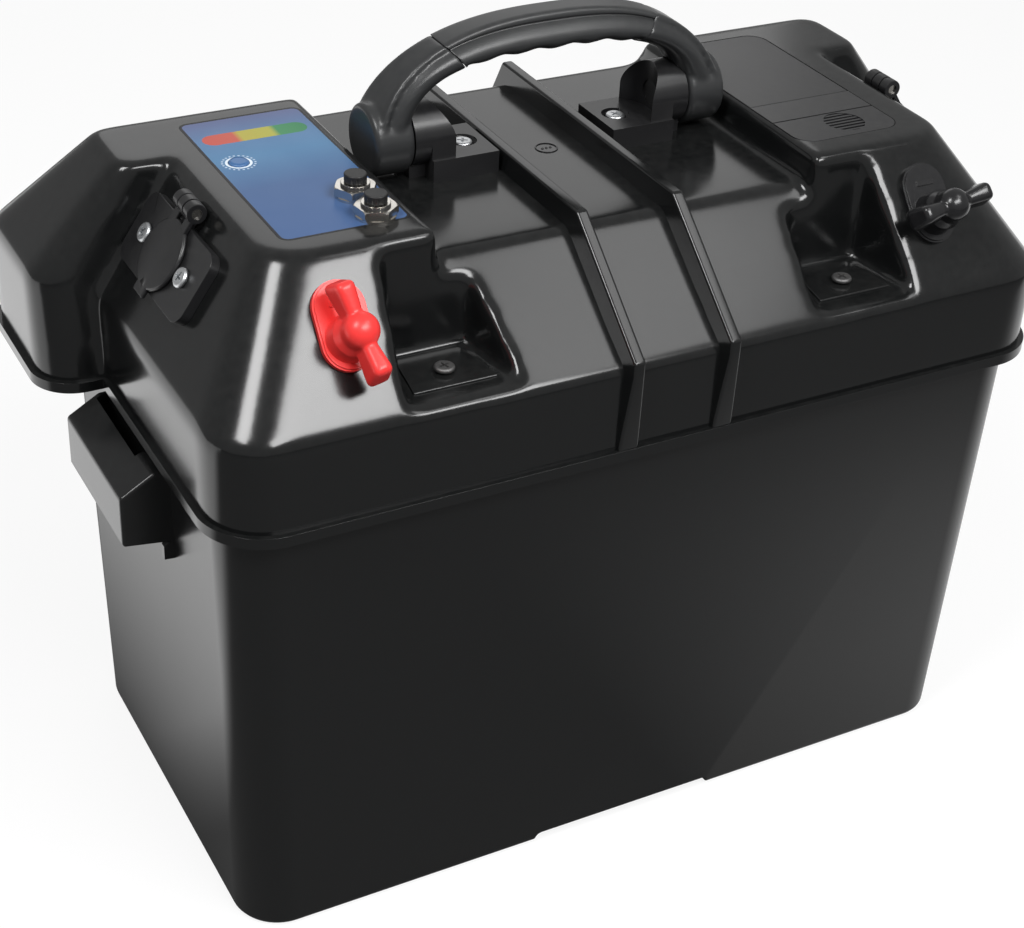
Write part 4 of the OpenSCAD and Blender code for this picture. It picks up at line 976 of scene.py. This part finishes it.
middle_part = [math.asin(grip_to / bow_x * (i / 60 - 1)) for i in range(121)]
grip = bent_tube("handle_grip_cover", middle_part, grip_point)
soften(grip, 0.0008, 2, 60)
smooth(grip, 40)
dress(grip, moulding("handle grip rubber", (0.027, 0.028, 0.029), 0.36, 0.08, 0.14, 2000.0, 0.00005, 0.35))
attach(grip, "handle")
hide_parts("handle_grip")


# ---- Handle brackets ----
# Each end of the handle turns on a blackened pin in a moulded bracket that one screw
# holds down in a round cut-out.
bracket_x = 0.035
bracket_screws = []
for side, label in ((-1, "left"), (1, "right")):
    foot = from_cad("handle_bracket_" + label, label + "_bracket", 0.0007)
    well = round_bar("well", 0.0058, 0.2794, 0.2900, 48, (side * bracket_x, pivot_y))
    combine(foot, well)
    smooth(foot, 38)
    dress(foot, fitting_black)
    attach(foot, "lid")
    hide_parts("handle_bracket_" + label)
    seat = Matrix.Translation((side * bracket_x, pivot_y, 0.279))
    bracket_screws.append(copy_to(screw, "screw", seat @ Matrix.Rotation(0.5 * side, 4, "Z")))
bracket_screws = gather("bracket_screw_set", bracket_screws)
dress(bracket_screws, zinc)
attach(bracket_screws, "lid")
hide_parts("bracket_screws")


# ---- Compartment and pockets ----
# A flat panel closes the storage tray in the right top: its front part lifts out by a
# ribbed thumb patch. A screw holds down the floor of each front pocket.
for node, name in (("compartment_cover", "tray_cover"), ("compartment_tray", "tray_and_panel")):
    panel = from_cad(node, name, 0.00035)
    dress(panel, fitting_black)
    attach(panel, "cover" if node == "compartment_cover" else "lid")
    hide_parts(node)
pocket_screws = []
for side in (-1, 1):
    seat = Matrix.Translation((side * pocket_x, -0.080, 0.239))
    pocket_screws.append(copy_to(screw, "screw", seat @ Matrix.Rotation(0.3, 4, "Z")))
pocket_screws = gather("pocket_screw_set", pocket_screws)
# The pocket screws take a much darker copy of the zinc plating: painted shade down in the pockets.
dress(pocket_screws, plated("zinc plate in painted pocket shade", (0.16, 0.16, 0.165), 0.42, 0.3))
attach(pocket_screws, "lid")
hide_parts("pocket_screws")
bpy.data.objects.remove(screw)


# ---- Camera, light and floor ----
# A pale floor and sky that the camera sees as white. In reflections the floor is dark except for painted
# reflections: it glows for reflected rays only, bright in a patch behind on the left and grey in a patch in
# front on the right.
clear()
bpy.ops.mesh.primitive_plane_add(size=6, location=(0, 0, 0))
floor = named("floor")
paper, tree, shell = new_material("pale paper with painted reflections")
shell.inputs["Base Color"].default_value = (0.16, 0.16, 0.16, 1)
shell.inputs["Roughness"].default_value = 0.8
shell.inputs["Emission Color"].default_value = (1, 1, 1, 1)
rays = tree.nodes.new("ShaderNodeLightPath")
across_floor = tree.nodes.new("ShaderNodeSeparateXYZ")
tree.links.new(own_place(tree), across_floor.inputs[0])
floor_x, floor_y = across_floor.outputs["X"], across_floor.outputs["Y"]
# Painted reflections: patches where the floor glows only for reflected rays, so that bright and grey
# reflections fall on the tub's and lid's faces.
reflection_patch_left = math_node(tree, "MULTIPLY", math_node(tree, "SUBTRACT", -0.17, floor_x), 12.0, True)
reflection_patch_behind = math_node(tree, "MULTIPLY", math_node(tree, "ADD", floor_y, 0.03), 14.0, True)
reflection_patch_left = math_node(tree, "MULTIPLY", reflection_patch_left, reflection_patch_behind)
reflection_patch_right = math_node(tree, "MULTIPLY", math_node(tree, "SUBTRACT", floor_x, 0.03), 4.0, True)
reflection_patch_near = math_node(tree, "MULTIPLY", math_node(tree, "ADD", floor_y, 0.34), 5.0, True)
reflection_patch_right = math_node(tree, "MULTIPLY", reflection_patch_right, reflection_patch_near)
painted_reflection_bright, painted_reflection_grey = math_node(tree, "MULTIPLY", reflection_patch_left, 1.3), math_node(tree, "MULTIPLY", reflection_patch_right, 0.8)
painted_reflection_glow = math_node(tree, "ADD", math_node(tree, "ADD", painted_reflection_bright, painted_reflection_grey), 0.02)
painted_reflection_glow = math_node(tree, "MULTIPLY", painted_reflection_glow, rays.outputs["Is Glossy Ray"])
seen = math_node(tree, "MULTIPLY", rays.outputs["Is Camera Ray"], 0.84)
glow = math_node(tree, "ADD", math_node(tree, "ADD", seen, painted_reflection_glow), rays.outputs["Is Transmission Ray"])
tree.links.new(glow, shell.inputs["Emission Strength"])
dress(floor, paper)

turn, rise, roll, away = math.radians(-29.5), math.radians(33.1), math.radians(3.1), 0.8706
aim = Vector((-0.0145, -0.0036, 0.1329))
towards = Vector((math.sin(turn) * math.cos(rise), -math.cos(turn) * math.cos(rise), math.sin(rise)))
seen_from = aim + away * towards
ahead = (aim - seen_from).normalized()
across = ahead.cross(Vector((0, 0, 1))).normalized()
above = across.cross(ahead)
across, above = (
    math.cos(roll) * across + math.sin(roll) * above,
    math.cos(roll) * above - math.sin(roll) * across,
)
sensor, focal_pixels, picture_width = 36, 2008.6, 1024
lens = bpy.data.cameras.new("camera")
lens.sensor_width, lens.lens = sensor, focal_pixels / picture_width * sensor
camera = bpy.data.objects.new("camera", lens)
bpy.context.scene.collection.objects.link(camera)
camera.matrix_world = Matrix.Translation(seen_from) @ Matrix((across, above, -ahead)).transposed().to_4x4()
bpy.context.scene.camera = camera


def softbox(name, place, size, power, target=(0, 0, 0.2)):
    lamp = bpy.data.lights.new(name, "AREA")
    lamp.shape, lamp.size, lamp.size_y, lamp.energy = "RECTANGLE", size[0], size[1], power
    box = bpy.data.objects.new(name, lamp)
    bpy.context.scene.collection.objects.link(box)
    box.location = place
    box.rotation_euler = (Vector(target) - Vector(place)).to_track_quat("-Z", "Y").to_euler()


softbox("over_left", (-0.91, -0.39, 1.52), (0.40, 0.6), 12)
softbox("slope_patch", (0.15, -1.00, 1.24), (0.92, 0.38), 15.0, (-0.127, -0.08, 0.26))
softbox("middle_slope", (0.617, -0.484, 1.43), (0.45, 0.40), 2.0, (-0.03, -0.08, 0.255))
softbox("behind", (0.46, 1.15, 0.86), (0.86, 0.45), 1.05, (0, 0, 0.272))

world = bpy.data.worlds.new("studio")
bpy.context.scene.world = world
world.use_nodes = True
sky = world.node_tree
back = sky.nodes["Background"]
rays = sky.nodes.new("ShaderNodeLightPath")
mirror = math_node(sky, "MULTIPLY", rays.outputs["Is Glossy Ray"], 0.34)
plain = math_node(sky, "MAXIMUM", rays.outputs["Is Camera Ray"], rays.outputs["Is Transmission Ray"])
level = math_node(sky, "MAXIMUM", math_node(sky, "MAXIMUM", plain, mirror), 0.24)
back.inputs["Color"].default_value = (1, 1, 1, 1)
sky.links.new(level, back.inputs["Strength"])
bpy.context.scene.view_settings.view_transform = "Standard"
